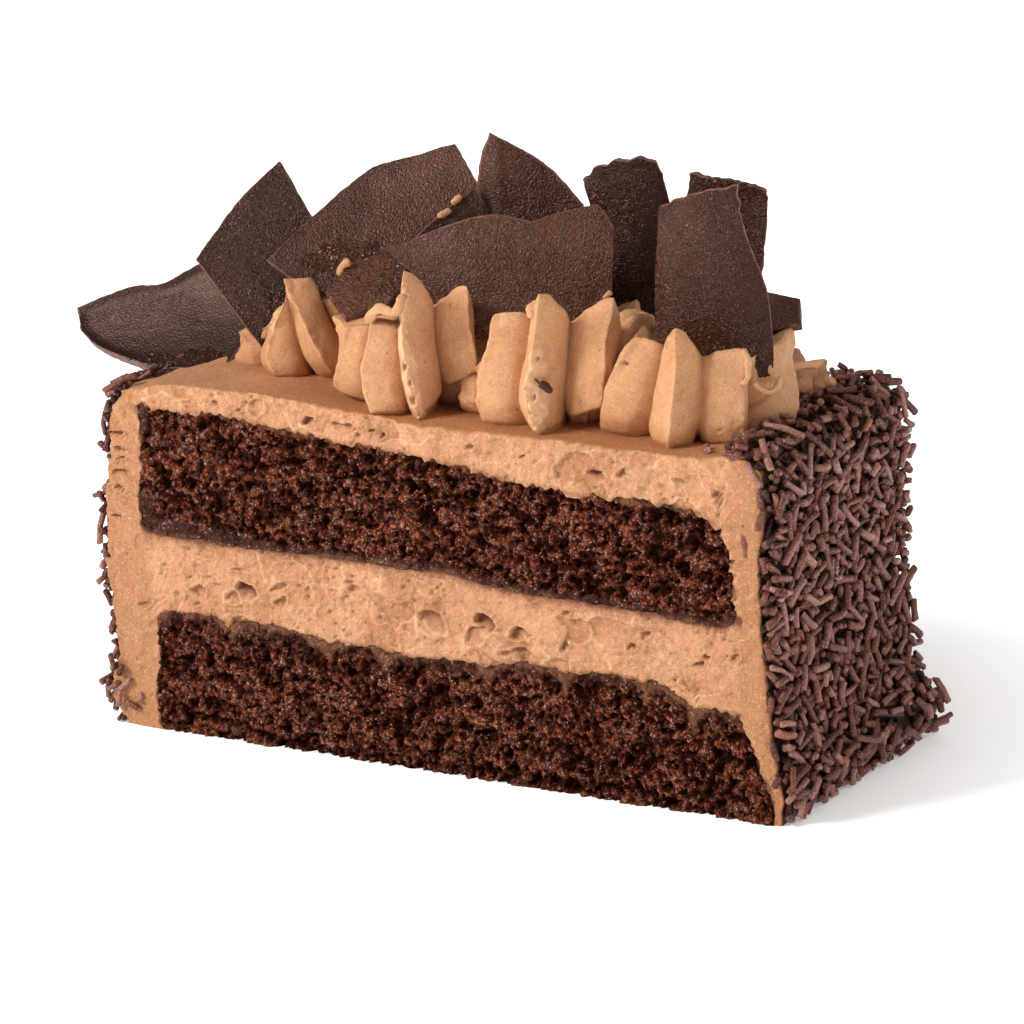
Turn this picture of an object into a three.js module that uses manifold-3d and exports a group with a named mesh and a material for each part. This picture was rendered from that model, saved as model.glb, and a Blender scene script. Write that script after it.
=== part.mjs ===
// A slice of layered chocolate cake: two dark sponges round a mousse filling, a coat of the same mousse with
// chocolate sprinkles on both ends, five piped swirls on top, and eleven thin broken plates of chocolate in them.
// Millimetres. X runs along the slice, Y into its depth, Z up. The origin is the middle of the base.
import * as THREE from "three";
import { mergeVertices } from "three/addons/utils/BufferGeometryUtils.js";
import Module from "manifold-3d";

const wasm = await Module();
wasm.setup();

// ---------------------------------------------------------------- driving dimensions

const DEPTH = 46; // between the two cut faces
const GAP = 0.3; // air left between touching pieces
const BLOCK = 140; // longer than the slice, for the tools that cut it
const TALL = 90; // higher than the slice's coat

// Heights of the layer boundaries along the slice, as [x, z] from left to right.
const LOWER_TOP = [[-56, 18.6], [-52.5, 20.6], [-39, 20.9], [-20, 19.8], [0, 19.3], [12, 20.1], [39, 20.8], [46, 17.8], [57, 17]];
const UPPER_BOTTOM = [[-57, 36.4], [-54.5, 34.2], [-24, 33.8], [2, 33.9], [13, 32.4], [40, 31.6], [52, 30.7], [55, 31.8]];
const UPPER_TOP = [[-54.5, 55.6], [-39, 55.6], [-22, 53.8], [-4, 52.9], [14, 50.6], [32, 49.3], [50, 48.4], [53, 46.8]];
// The sponges' ends and the coat's outside at each end, as [x, z] from the base upwards.
const LEFT_INNER = [[-55.1, 0], [-55.3, 5], [-54.2, 19], [-55.6, 30], [-56.2, 35], [-54.5, 48]];
const RIGHT_INNER = [[59.2, 0], [57.2, 10], [55.4, 17], [54.6, 30], [55, 42]];
const LEFT_OUTER = [[-61.8, 0], [-63, 14], [-63.4, 26], [-62.4, 36], [-60.8, 48], [-59.8, 55], [-57.4, 58.4]];
const RIGHT_OUTER = [[61, 0], [60.4, 14], [60, 20], [59.3, 30], [59.6, 42], [60.8, 51], [60.2, 55.6], [58, 57.4]];
const COAT_TOP = [[-50, 59.6], [-38, 60], [-22, 59.2], [-10, 58.2], [0, 57.5], [20, 57.4], [44, 57.1]];

// The coat's foot swells outwards just above the base, most at the back right corner and the front left one: how far
// it swells at the front and the back, and the share of that at each height, as [height, share].
const RIGHT_FOOT = { front: 0.6, back: 5 };
const LEFT_FOOT = { front: 3, back: 1.2 };
const FOOT_SWELL = [[0, 0.1], [3, 0.75], [6, 1], [9, 0.5], [12, 0]];
// A low swell of the coat, as centre, half widths and how far it rises above the top.
const SWELL = { x: -49, y: 1, wide: 9, deep: 8, rise: 1.6 };

// Sprinkles: true thickness and range of lengths, how many per end, and how wide the strip on the top's right is.
const SPRINKLE = { radius: 0.7, shortest: 4, longest: 7.5, sides: 5 };
const SPRINKLES = { right: 100, left: 70, rightTop: 22, leftTop: 5 };
const TOP_STRIP = { front: 3, back: 9 };

// Piped swirls: centre, radius, height, twist from foot to tip and first crest's angle in degrees, and how tall each
// crest stands as a share of the height, going round from the first one.
const FLUTES = 8;
const SWIRLS = [
  {
    name: "swirl_1", x: -34, y: 0, radius: 13, height: 15.2, twist: -22, first: -49,
    tops: [1, 0.94, 0.9, 0.9, 0.82, 0.55, 0.36, 0.8],
  },
  {
    name: "swirl_2", x: -8, y: -8.5, radius: 13.8, height: 22.8, twist: -5, first: -61,
    tops: [1, 0.87, 0.8, 0.78, 0.78, 0.75, 0.6, 0.6],
  },
  {
    name: "swirl_3", x: 17.7, y: -7.3, radius: 14.2, height: 20.2, twist: 8, first: -77,
    tops: [1, 0.92, 0.85, 0.8, 0.8, 0.8, 0.78, 0.8],
  },
  {
    name: "swirl_4", x: 40, y: -5, radius: 15.6, height: 16.2, twist: 10, first: -79,
    tops: [1, 0.78, 0.78, 0.72, 0.7, 0.75, 0.85, 0.97],
  },
  {
    name: "swirl_5", x: 42.5, y: 12, radius: 9.8, height: 7, twist: 30, first: -80,
    tops: [1, 0.8, 0.75, 0.8, 0.9, 1, 1, 1],
  },
];
// A swirl's radius up its height, as [share of height, share of radius].
const SWIRL_PROFILE = [[0, 0.92], [0.09, 0.98], [0.3, 1.02], [0.55, 1], [0.75, 0.97], [0.88, 0.9], [0.96, 0.72], [1, 0.38]];
// The upright seams where one swirl is pressed against the next: where each crosses the top along X and the middle
// line between the two, how far it is turned about Z and how far it leans along X as it rises, in degrees.
const SEAMS = [
  { swirls: ["swirl_1", "swirl_2"], x: -21, y: -4, turn: -18, lean: 0 },
  { swirls: ["swirl_2", "swirl_3"], x: 4.9, y: -8, turn: 3, lean: 2 },
  { swirls: ["swirl_3", "swirl_4"], x: 27.2, y: -6, turn: 6, lean: 20 },
  { swirls: ["swirl_4", "swirl_5"], x: 41.5, y: 6.5, turn: 90, lean: 0 },
];

// Broken plates of chocolate: a point on the front face of each, which way that face turns from the front and leans
// back, the angle of the line it is bent round and the bend's radius (negative when hollow towards the front), and
// its outline on the flat plate, as [across, up] from the point.
const PLATE_THICKNESS = 1.2;
// Where a plate has pushed a swirl's cream aside, as a stretch of the plate whose front lies bare.
const PUSHED_DEPTH = 14;
const PUSHES = [
  { plate: "plate_tall", swirl: "swirl_4", from: 4.5, upTo: 11, low: -15, high: 8 },
  { plate: "plate_square", swirl: "swirl_1", from: -12, upTo: 1, low: -15, high: 8 },
];
const PLATES = [
  {
    name: "plate_square", at: [-42.4, -4.2, 77], turn: 22, lean: 22, axis: 60, radius: 70,
    outline: [[-10, 0], [1.5, -15], [8, -11], [14.5, -2.5], [9, 7.5], [4, 16], [-3, 9.5]],
  },
  {
    name: "plate_left", at: [-62.5, -2, 62.5], turn: 0, lean: 45, axis: 10, radius: -38,
    outline: [[-20.3, 2.5], [-18, -1.5], [-14, -4], [-7.5, -6], [-0.5, -7.3], [8, -7.5], [15, -6.5], [16, 2],
      [14, 13], [9.5, 13.5], [2, 12.4], [-0.5, 11], [-4, 8.6], [-11, 7.2]],
  },
  {
    name: "plate_slab", at: [-21.4, 1.8, 82.8], turn: 18, lean: 32, axis: 28, radius: 60,
    outline: [[-18.5, -6.2], [-12.5, -10.2], [-6, -13], [2, -14], [12, -11], [15.5, -4], [16.7, 5.5], [11.5, 13.6],
      [-2, 10.2], [-9, 3.8]],
  },
  {
    name: "plate_front", at: [7, -7, 80.4], turn: 18, lean: 14, axis: 95, radius: 70,
    outline: [[-19.5, 2], [-11.7, -4.5], [-8, -9.5], [-2, -12.5], [9, -13], [14.5, -10.5], [17.6, -4.5], [17.7, 5.7],
      [15.4, 9], [9.5, 7.7], [4.8, 6.4], [-1.6, 7.5], [-10, 5.4]],
  },
  {
    name: "plate_sail", at: [3.7, 6, 89.7], turn: 28, lean: 12, axis: 80, radius: -40,
    outline: [[-4.7, 8.6], [-6.3, 3.5], [-7.2, -8.5], [-5, -18], [3, -21], [8, -16], [9.5, -3.5], [3.8, 3]],
  },
  {
    name: "plate_flat", at: [-18.2, -8, 75.1], turn: 10, lean: 62, axis: 90, radius: 40,
    outline: [[-6.7, -1.4], [-0.7, -7.9], [5, -4.2], [7, 1], [5, 7], [-1, 7.5], [-4.7, 5.6]],
  },
  {
    name: "plate_chip", at: [-5.3, 0, 86.7], turn: 30, lean: 30, axis: 30, radius: 60,
    outline: [[-8, -6], [-6, -13], [0, -15], [4, -9], [4.6, 0.5], [3.2, 3.2], [-2.4, -0.7]],
  },
  {
    name: "plate_tall", at: [45.2, -7.8, 80.8], turn: 14, lean: 8, axis: 84, radius: 17,
    outline: [[-10, 10.8], [-10.4, 2.5], [-10.2, -9.5], [-6, -14.5], [3, -16], [9.6, -15.4], [8.4, -2.4], [5, 7.3],
      [4, 14], [-1.5, 13.2]],
  },
  {
    name: "plate_curl", at: [20.3, 8, 81.4], turn: 12, lean: 6, axis: 84, radius: 12,
    outline: [[-8.3, 9.4], [-6.1, 5.3], [-5, -6], [-3.5, -15], [4, -15.5], [7, -12], [8, 4], [6, 12.5], [3.7, 13.1],
      [-2.9, 12]],
  },
  {
    name: "plate_back", at: [38.4, 12, 83], turn: 24, lean: 6, axis: 80, radius: 30,
    outline: [[-6.9, 9.5], [-8.5, -1], [-7.5, -12], [-3, -18], [3, -17], [3.6, -9], [4.8, -1.4], [5.4, 6.4], [-2, 8.6]],
  },
  {
    name: "plate_end", at: [50.5, 4, 73.1], turn: 20, lean: 55, axis: 10, radius: 12,
    outline: [[-6, 1.7], [-4.5, -3], [-2, -4], [3.3, -2.6], [2.6, 2.4], [-3.4, 4.9]],
  },
];

// ---------------------------------------------------------------- materials

const COLOURS = {
  sponge: { color: 0x3b2018, roughness: 0.95 },
  mousse: { color: 0xb98558, roughness: 0.6 },
  coat: { color: 0xb58154, roughness: 0.6 },
  swirl: { color: 0xb07c4f, roughness: 0.55 },
  plate: { color: 0x2e1c17, roughness: 0.4 },
};
const materialOf = (kind) => new THREE.MeshStandardMaterial({ ...COLOURS[kind], metalness: 0 });

// ---------------------------------------------------------------- solids and geometries

function solidOf(geometry) {
  const source = geometry.index ? geometry.toNonIndexed() : geometry.clone();
  const bare = new THREE.BufferGeometry().setAttribute("position", source.getAttribute("position"));
  const merged = mergeVertices(bare, 1e-4);
  return new wasm.Manifold(
    new wasm.Mesh({
      numProp: 3,
      vertProperties: merged.attributes.position.array,
      triVerts: new Uint32Array(merged.index.array),
    }),
  );
}

function geometryOf(solid) {
  const mesh = solid.getMesh();
  const positions = new Float32Array(mesh.numVert * 3);
  for (let i = 0; i < mesh.numVert; i++) {
    for (let k = 0; k < 3; k++) positions[3 * i + k] = mesh.vertProperties[i * mesh.numProp + k];
  }
  const geometry = new THREE.BufferGeometry();
  geometry.setAttribute("position", new THREE.BufferAttribute(positions, 3));
  geometry.setIndex(new THREE.BufferAttribute(new Uint32Array(mesh.triVerts), 1));
  geometry.computeVertexNormals();
  return geometry;
}

// The biggest of the pieces that a cut has left, so that no scrap stays loose.
function biggest(solid) {
  const pieces = solid.decompose();
  return pieces.reduce((best, piece) => (piece.volume() > best.volume() ? piece : best));
}

// A closed geometry from triangles given as [a, b, c] points.
function geometryFromTriangles(triangles) {
  const geometry = new THREE.BufferGeometry();
  geometry.setAttribute("position", new THREE.Float32BufferAttribute(triangles.flat(2), 3));
  return geometry;
}

// Skins a row of equal rings of points, each running anticlockwise seen from the row's far end, and caps its ends.
// The caps' triangles are the numbers of a ring's points, and one past the last is the ring's middle point.
function loft(rings, capOf, middleOf) {
  const triangles = [];
  const count = rings[0].length;
  for (let r = 0; r + 1 < rings.length; r++) {
    for (let i = 0; i < count; i++) {
      const j = (i + 1) % count;
      triangles.push([rings[r][i], rings[r][j], rings[r + 1][j]]);
      triangles.push([rings[r][i], rings[r + 1][j], rings[r + 1][i]]);
    }
  }
  const withMiddle = (ring) => (middleOf ? [...ring, middleOf(ring)] : ring);
  const first = withMiddle(rings[0]);
  const last = withMiddle(rings[rings.length - 1]);
  for (const [a, b, c] of capOf(rings[0])) triangles.push([first[a], first[c], first[b]]);
  for (const [a, b, c] of capOf(rings[0])) triangles.push([last[a], last[b], last[c]]);
  return geometryFromTriangles(triangles);
}

// The height of a boundary, given as [x, z] points, at one x.
function heightAt(boundary, x) {
  const last = boundary.length - 1;
  if (x <= boundary[0][0]) return boundary[0][1];
  if (x >= boundary[last][0]) return boundary[last][1];
  const i = boundary.findIndex((point) => point[0] > x);
  const [x0, z0] = boundary[i - 1];
  const [x1, z1] = boundary[i];
  return z0 + ((z1 - z0) * (x - x0)) / (x1 - x0);
}

// The x of an end's outline, given as [x, z] points, at one height.
const endAt = (outline, z) => heightAt(outline.map(([x, height]) => [height, x]), z);

// Points along a smooth curve through an outline's points.
function smooth(points, steps) {
  const curve = new THREE.SplineCurve(points.map(([x, z]) => new THREE.Vector2(x, z)));
  return curve.getPoints(steps).map((point) => [point.x, point.y]);
}

// A profile in the XZ plane, drawn through the whole depth of the slice.
function throughDepth(profile, depth = DEPTH) {
  const shape = new THREE.Shape(profile.map(([x, z]) => new THREE.Vector2(x, z)));
  const geometry = new THREE.ExtrudeGeometry(shape, { depth, bevelEnabled: false });
  geometry.rotateX(Math.PI / 2);
  geometry.translate(0, depth / 2, 0);
  return solidOf(geometry);
}

// Everything between two boundaries, a little deeper than the slice, to cut layers with.
function between(low, high) {
  const wide = (boundary) => [[-BLOCK / 2, boundary[0][1]], ...boundary, [BLOCK / 2, boundary[boundary.length - 1][1]]];
  return throughDepth([...wide(low), ...wide(high).reverse()], DEPTH + 2);
}

const lifted = (boundary, by) => boundary.map(([x, z]) => [x, z + by]);
const moved = (outline, by) => outline.map(([x, z]) => [x + by, z]);

// Numbers between 0 and 1 that are the same on every run.
function seeded(seed) {
  let state = seed;
  return () => {
    state = (state + 0x6d2b79f5) | 0;
    let t = Math.imul(state ^ (state >>> 15), 1 | state);
    t = (t + Math.imul(t ^ (t >>> 7), 61 | t)) ^ t;
    return ((t ^ (t >>> 14)) >>> 0) / 4294967296;
  };
}

// ---------------------------------------------------------------- sponges and filling

const upperTop = smooth(UPPER_TOP, 16);
const lowerTop = smooth(LOWER_TOP, 20);
const upperBottom = smooth(UPPER_BOTTOM, 18);

// What the coat encloses, grown by a gap on its ends and top.
function core(gap) {
  const left = moved(LEFT_INNER, -gap);
  const right = moved(RIGHT_INNER, gap);
  const base = gap > 0 ? -1 : 0;
  left[0] = [left[0][0], base];
  right[0] = [right[0][0], base];
  return throughDepth([...left.reverse(), ...right, ...lifted(upperTop, gap).reverse()], DEPTH + 4 * gap);
}

const BELOW = [[-BLOCK / 2, -1], [BLOCK / 2, -1]];
const ABOVE = [[-BLOCK / 2, TALL], [BLOCK / 2, TALL]];
const lowerSponge = core(0).intersect(between(BELOW, lowerTop));
const filling = core(0).intersect(between(lifted(lowerTop, GAP), lifted(upperBottom, -GAP)));
const upperSponge = core(0).intersect(between(upperBottom, ABOVE));

// ---------------------------------------------------------------- coat

const coatTop = smooth([LEFT_OUTER[LEFT_OUTER.length - 1], ...COAT_TOP, RIGHT_OUTER[RIGHT_OUTER.length - 1]], 18);

// How far the foot reaches past an end's wall at a height and at a place in the depth from 0, front, to 1, back.
function footReach(foot, z, back) {
  return (foot.front + (foot.back - foot.front) * back ** 2) * heightAt(FOOT_SWELL, z);
}

const rightWallAt = (y, z) => endAt(RIGHT_OUTER, z) + footReach(RIGHT_FOOT, z, y / DEPTH + 0.5);
const leftWallAt = (y, z) => endAt(LEFT_OUTER, z) - footReach(LEFT_FOOT, z, y / DEPTH + 0.5);

const COAT_STATIONS = 6; // profiles through the depth

// The coat's outer profile at one place in the depth, anticlockwise seen from the front.
function coatProfile(y) {
  const heights = (outline) => [...FOOT_SWELL.map(([z]) => z), ...outline.slice(1).map(([, z]) => z)];
  const right = heights(RIGHT_OUTER).map((z) => [rightWallAt(y, z), z]);
  const left = heights(LEFT_OUTER).map((z) => [leftWallAt(y, z), z]);
  return [...right, ...coatTop.slice(1, -1).reverse(), ...left.reverse()];
}

function coatBlock() {
  const rings = [];
  for (let i = 0; i <= COAT_STATIONS; i++) {
    const y = DEPTH * (0.5 - i / COAT_STATIONS);
    rings.push(coatProfile(y).map(([x, z]) => [x, y, z]));
  }
  const cap = (ring) => THREE.ShapeUtils.triangulateShape(ring.map(([x, , z]) => new THREE.Vector2(x, z)), []);
  return solidOf(loft(rings, cap));
}

function swell({ x, y, wide, deep, rise }) {
  const geometry = new THREE.SphereGeometry(1, 14, 10);
  geometry.scale(wide, deep, rise * 2);
  geometry.translate(x, y, heightAt(coatTop, x) - rise);
  return solidOf(geometry);
}

// One sprinkle: a short rod with blunt ends, its middle at a place and its length along a direction.
function sprinkle(place, direction, length) {
  const { radius, sides } = SPRINKLE;
  const blunt = radius * 0.5;
  const profile = [[0, -length / 2], [radius, blunt - length / 2], [radius, length / 2 - blunt], [0, length / 2]];
  const geometry = new THREE.LatheGeometry(profile.map(([r, h]) => new THREE.Vector2(r, h)), sides);
  geometry.applyQuaternion(new THREE.Quaternion().setFromUnitVectors(new THREE.Vector3(0, 1, 0), direction.normalize()));
  geometry.translate(place.x, place.y, place.z);
  return solidOf(geometry);
}

// Spreads count places over a rectangle by a low-discrepancy rule, as [0..1, 0..1] pairs.
const spread = (i, count) => [(i + 0.5) / count, (i * 0.6180339887) % 1];

// Sprinkles on an end wall, lying along it at any angle, a little sunk into the mousse.
function sprinklesOnEnd(count, wallAt, side, seed) {
  const random = seeded(seed);
  const made = [];
  const top = 56;
  for (let i = 0; i < count; i++) {
    const [up, across] = spread(i, count);
    const z = 1.6 + up * (top - 1.6);
    const y = (across - 0.5) * (DEPTH - 3);
    const turn = random() * Math.PI;
    const length = SPRINKLE.shortest + random() * (SPRINKLE.longest - SPRINKLE.shortest);
    const flat = Math.min(Math.abs(Math.sin(turn)), (z - 0.8) / (length / 2));
    const direction = new THREE.Vector3(side * (random() - 0.35) * 0.5, Math.cos(turn), flat);
    made.push(sprinkle(new THREE.Vector3(wallAt(y, z) + side * 0.25, y, z), direction, length));
  }
  return made;
}

// Sprinkles that have fallen on the top along one end, in a strip that widens towards the back.
function sprinklesOnTop(count, side, seed) {
  const random = seeded(seed);
  const made = [];
  const edge = side > 0 ? 59.5 : -59.5;
  for (let i = 0; i < count; i++) {
    const [back, inwards] = spread(i, count);
    const width = side > 0 ? TOP_STRIP.front + (TOP_STRIP.back - TOP_STRIP.front) * back : 1.5;
    const x = edge - side * inwards * width;
    const y = (back - 0.5) * (DEPTH - 4);
    const turn = random() * Math.PI;
    const direction = new THREE.Vector3(Math.cos(turn), Math.sin(turn), (random() - 0.5) * 0.3);
    const length = SPRINKLE.shortest + random() * (SPRINKLE.longest - SPRINKLE.shortest);
    const z = Math.min(heightAt(coatTop, x), 57.3) + 0.2;
    const clear = SWIRLS.every((swirl) => Math.hypot(x - swirl.x, y - swirl.y) > swirl.radius + length / 2 + GAP);
    if (clear) made.push(sprinkle(new THREE.Vector3(x, y, z), direction, length));
  }
  return made;
}

// The slice ends at its two cut faces, so nothing on the coat reaches past them.
const insideSlice = throughDepth([[-BLOCK / 2, 0], [BLOCK / 2, 0], [BLOCK / 2, TALL], [-BLOCK / 2, TALL]]);
const sprinkles = [
  ...sprinklesOnEnd(SPRINKLES.right, rightWallAt, 1, 11),
  ...sprinklesOnEnd(SPRINKLES.left, leftWallAt, -1, 23),
  ...sprinklesOnTop(SPRINKLES.rightTop, 1, 37),
  ...sprinklesOnTop(SPRINKLES.leftTop, -1, 41),
];
const bareCoat = coatBlock().add(swell(SWELL));
const dressedCoat = wasm.Manifold.union([bareCoat, ...sprinkles]).intersect(insideSlice);
const coat = biggest(dressedCoat.subtract(core(GAP)));

// ---------------------------------------------------------------- plates of chocolate

// Cuts a polygon down to the side of a line where along . point is less than the limit.
function clip(polygon, along, limit) {
  const kept = [];
  polygon.forEach((a, i) => {
    const b = polygon[(i + 1) % polygon.length];
    const da = a[0] * along[0] + a[1] * along[1] - limit;
    const db = b[0] * along[0] + b[1] * along[1] - limit;
    if (da <= 0) kept.push(a);
    if (da * db < 0) kept.push([a[0] + ((b[0] - a[0]) * da) / (da - db), a[1] + ((b[1] - a[1]) * da) / (da - db)]);
  });
  return kept;
}

const BEND_STRIPS = 7;

// A plate bent round a line in its own plane: local X across, Y up, Z out of its front.
function plateGeometry({ outline, axis, radius, thickness = PLATE_THICKNESS, level = 0 }, grow) {
  const angle = THREE.MathUtils.degToRad(axis);
  const across = [-Math.sin(angle), Math.cos(angle)];
  const line = [Math.cos(angle), Math.sin(angle)];
  const centre = outline.reduce((sum, p) => [sum[0] + p[0] / outline.length, sum[1] + p[1] / outline.length], [0, 0]);
  const grown = outline.map(([x, y]) => {
    const away = Math.hypot(x - centre[0], y - centre[1]);
    return [x + (grow * 1.3 * (x - centre[0])) / away, y + (grow * 1.3 * (y - centre[1])) / away];
  });
  const reach = grown.map(([x, y]) => x * across[0] + y * across[1]);
  const low = Math.min(...reach);
  const strip = (Math.max(...reach) - low) / BEND_STRIPS;
  const front = level + grow;
  const back = level - thickness - grow;

  const bent = ([x, y], level) => {
    const along = x * line[0] + y * line[1];
    const off = x * across[0] + y * across[1];
    const ray = radius + level;
    const side = ray * Math.sin(off / radius);
    return [along * line[0] + side * across[0], along * line[1] + side * across[1], ray * Math.cos(off / radius) - radius];
  };

  const triangles = [];
  for (let i = 0; i < BEND_STRIPS; i++) {
    const from = low + i * strip;
    const upTo = i + 1 < BEND_STRIPS ? clip(grown, across, from + strip) : grown;
    const piece = i > 0 ? clip(upTo, [-across[0], -across[1]], -from) : upTo;
    const faces = THREE.ShapeUtils.triangulateShape(piece.map(([x, y]) => new THREE.Vector2(x, y)), []);
    for (const [a, b, c] of faces) {
      triangles.push([bent(piece[a], front), bent(piece[b], front), bent(piece[c], front)]);
      triangles.push([bent(piece[a], back), bent(piece[c], back), bent(piece[b], back)]);
    }
    piece.forEach((a, k) => {
      const b = piece[(k + 1) % piece.length];
      const offset = (p) => p[0] * across[0] + p[1] * across[1];
      const onCut = (limit) => Math.abs(offset(a) - limit) < 1e-6 && Math.abs(offset(b) - limit) < 1e-6;
      if ((i > 0 && onCut(from)) || (i + 1 < BEND_STRIPS && onCut(from + strip))) return;
      triangles.push([bent(a, back), bent(b, back), bent(b, front)]);
      triangles.push([bent(a, back), bent(b, front), bent(a, front)]);
    });
  }
  return geometryFromTriangles(triangles);
}

// The plate where it stands: turned about Z, leaning back, its front towards -Y when both are 0.
function plateSolid(plate, grow = 0) {
  const geometry = plateGeometry(plate, grow);
  const lean = THREE.MathUtils.degToRad(90 - plate.lean);
  const turn = THREE.MathUtils.degToRad(plate.turn);
  geometry.applyQuaternion(new THREE.Quaternion().setFromEuler(new THREE.Euler(lean, 0, turn, "ZYX")));
  geometry.translate(...plate.at);
  return solidOf(geometry);
}

// The slice's own block up to just above the coat, which everything on top keeps clear of.
const coatKeepOut = dressedCoat.add(dressedCoat.translate([0, 0, GAP]));
// Each plate gives way to the coat and to the plates listed before it.
const plates = PLATES.map((plate, i) => {
  const cuts = wasm.Manifold.union([coatKeepOut, ...PLATES.slice(0, i).map((earlier) => plateSolid(earlier, GAP))]);
  return { name: plate.name, solid: biggest(plateSolid(plate).subtract(cuts)) };
});

// ---------------------------------------------------------------- piped swirls

// A flute from one crest to the next, as shares of the crest's radius: crest, bulging flank, valley, bulging flank.
const FLUTE = [1, 0.91, 0.76, 0.91];

// One swirl of a star nozzle: crests and valleys that twist as they rise, each crest to its own height.
function swirlSolid({ x, y, radius, height, twist, first, tops }) {
  const foot = heightAt(coatTop, x) - 1.2;
  const count = FLUTES * FLUTE.length;
  const rings = SWIRL_PROFILE.map(([up, wide]) => {
    const ring = [];
    for (let i = 0; i < count; i++) {
      const flute = Math.floor(i / FLUTE.length);
      const share = (i % FLUTE.length) / FLUTE.length;
      const top = tops[flute] * (1 - share) + tops[(flute + 1) % FLUTES] * share;
      const angle = THREE.MathUtils.degToRad(first + twist * up + (i * 360) / count);
      const r = radius * wide * FLUTE[i % FLUTE.length];
      ring.push([x + r * Math.cos(angle), y + r * Math.sin(angle), foot + (height + 1.2) * up * top]);
    }
    return ring;
  });
  const fan = (ring) => ring.map((_, i) => [ring.length, i, (i + 1) % ring.length]);
  const middleOf = (ring) => [0, 1, 2].map((k) => ring.reduce((sum, p) => sum + p[k] / ring.length, 0));
  return solidOf(loft(rings, fan, middleOf));
}

// Everything past a seam, on its +X side or its -X side, as a big block to cut with.
function pastSeam({ x, y, turn, lean }, side) {
  const geometry = new THREE.BoxGeometry(BLOCK, BLOCK, BLOCK);
  geometry.translate(side * (BLOCK / 2 - GAP / 2), 0, 0);
  geometry.rotateY(THREE.MathUtils.degToRad(lean));
  geometry.rotateZ(THREE.MathUtils.degToRad(turn));
  geometry.translate(x, y, heightAt(coatTop, x));
  return solidOf(geometry);
}

// What the plate that leans in front has pushed aside: the cream before one side of it, above its lower edge.
function pushedAside(plate, { from, upTo, low, high }) {
  const outline = [[from, low], [upTo, low], [upTo, high], [from, high]];
  return plateSolid({ ...plate, outline, thickness: PUSHED_DEPTH, level: PUSHED_DEPTH }, 0);
}

const plateNamed = (name) => PLATES.find((plate) => plate.name === name);
const platesKeepOut = wasm.Manifold.union(PLATES.map((plate) => plateSolid(plate, GAP)));
const swirls = SWIRLS.map((swirl) => {
  const seams = SEAMS.filter((seam) => seam.swirls.includes(swirl.name));
  const blocks = seams.map((seam) => pastSeam(seam, seam.swirls[0] === swirl.name ? 1 : -1));
  const pushes = PUSHES.filter((push) => push.swirl === swirl.name).map((push) => pushedAside(plateNamed(push.plate), push));
  const cuts = wasm.Manifold.union([coatKeepOut, platesKeepOut, ...blocks, ...pushes]);
  return { name: swirl.name, solid: biggest(swirlSolid(swirl).subtract(cuts)) };
});

// ---------------------------------------------------------------- the slice

const slice = new THREE.Group();
slice.name = "chocolate_cake_slice";

function addPiece(name, solid, kind) {
  const mesh = new THREE.Mesh(geometryOf(solid), materialOf(kind));
  mesh.name = name;
  slice.add(mesh);
}

addPiece("sponge_lower", lowerSponge, "sponge");
addPiece("filling", filling, "mousse");
addPiece("sponge_upper", upperSponge, "sponge");
addPiece("coat", coat, "coat");
for (const { name, solid } of swirls) addPiece(name, solid, "swirl");
for (const { name, solid } of plates) addPiece(name, solid, "plate");

export default slice;
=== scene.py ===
"""The looks of a slice of layered chocolate cake: crumb, mousse, sprinkles, swirls and plates of chocolate.

Every shape is worked out in millimetres in the frame's own axes (X along the slice, -Y out of the cut front,
Z up) and becomes metres only when its mesh is made.
"""
import itertools
import math

import bpy
import numpy as np
from mathutils import Matrix


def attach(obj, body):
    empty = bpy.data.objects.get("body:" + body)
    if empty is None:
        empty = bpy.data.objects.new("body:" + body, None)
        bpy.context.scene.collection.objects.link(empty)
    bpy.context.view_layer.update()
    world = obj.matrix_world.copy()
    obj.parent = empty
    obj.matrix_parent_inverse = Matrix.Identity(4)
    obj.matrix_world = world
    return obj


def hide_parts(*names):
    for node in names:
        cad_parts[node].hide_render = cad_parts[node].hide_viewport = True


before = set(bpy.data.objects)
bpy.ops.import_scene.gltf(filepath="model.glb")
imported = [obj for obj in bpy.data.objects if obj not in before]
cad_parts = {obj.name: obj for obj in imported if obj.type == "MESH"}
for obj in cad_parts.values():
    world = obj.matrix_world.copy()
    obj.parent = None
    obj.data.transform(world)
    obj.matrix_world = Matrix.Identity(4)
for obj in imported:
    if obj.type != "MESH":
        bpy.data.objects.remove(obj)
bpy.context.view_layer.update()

MM = 0.001
FAR = 99  # millimetres: more than whatever it is compared with

# ---------------------------------------------------------------- the slice's measures

DEPTH = 46
FRONT = -DEPTH / 2

# Layer boundaries along the slice, as (x, z), and the ends' outlines from the base upwards, as (z, x).
LOWER_TOP = [(-56, 18.6), (-52.5, 20.6), (-39, 20.9), (-20, 19.8), (0, 19.3), (12, 20.1), (39, 20.8),
             (46, 17.8), (57, 17)]
UPPER_BOTTOM = [(-57, 36.4), (-54.5, 34.2), (-24, 33.8), (2, 33.9), (13, 32.4), (40, 31.6), (52, 30.7),
                (55, 31.8)]
UPPER_TOP = [(-54.5, 55.6), (-39, 55.6), (-22, 53.8), (-4, 52.9), (14, 50.6), (32, 49.3), (50, 48.4),
             (53, 46.8)]
COAT_TOP = [(-57.4, 58.4), (-50, 59.6), (-38, 60), (-22, 59.2), (-10, 58.2), (0, 57.5), (20, 57.4),
            (44, 57.1), (58, 57.4)]
LEFT_INNER = [(0, -55.1), (5, -55.3), (19, -54.2), (30, -55.6), (35, -56.2), (48, -54.5), (56, -54.3)]
RIGHT_INNER = [(0, 60), (5, 58.9), (10, 57.5), (17, 55.4), (30, 54.6), (42, 55), (47, 53.6)]
LEFT_OUTER = [(0, -61.8), (14, -63), (26, -63.4), (36, -62.4), (48, -60.8), (55, -59.8), (58.4, -57.4)]
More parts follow.
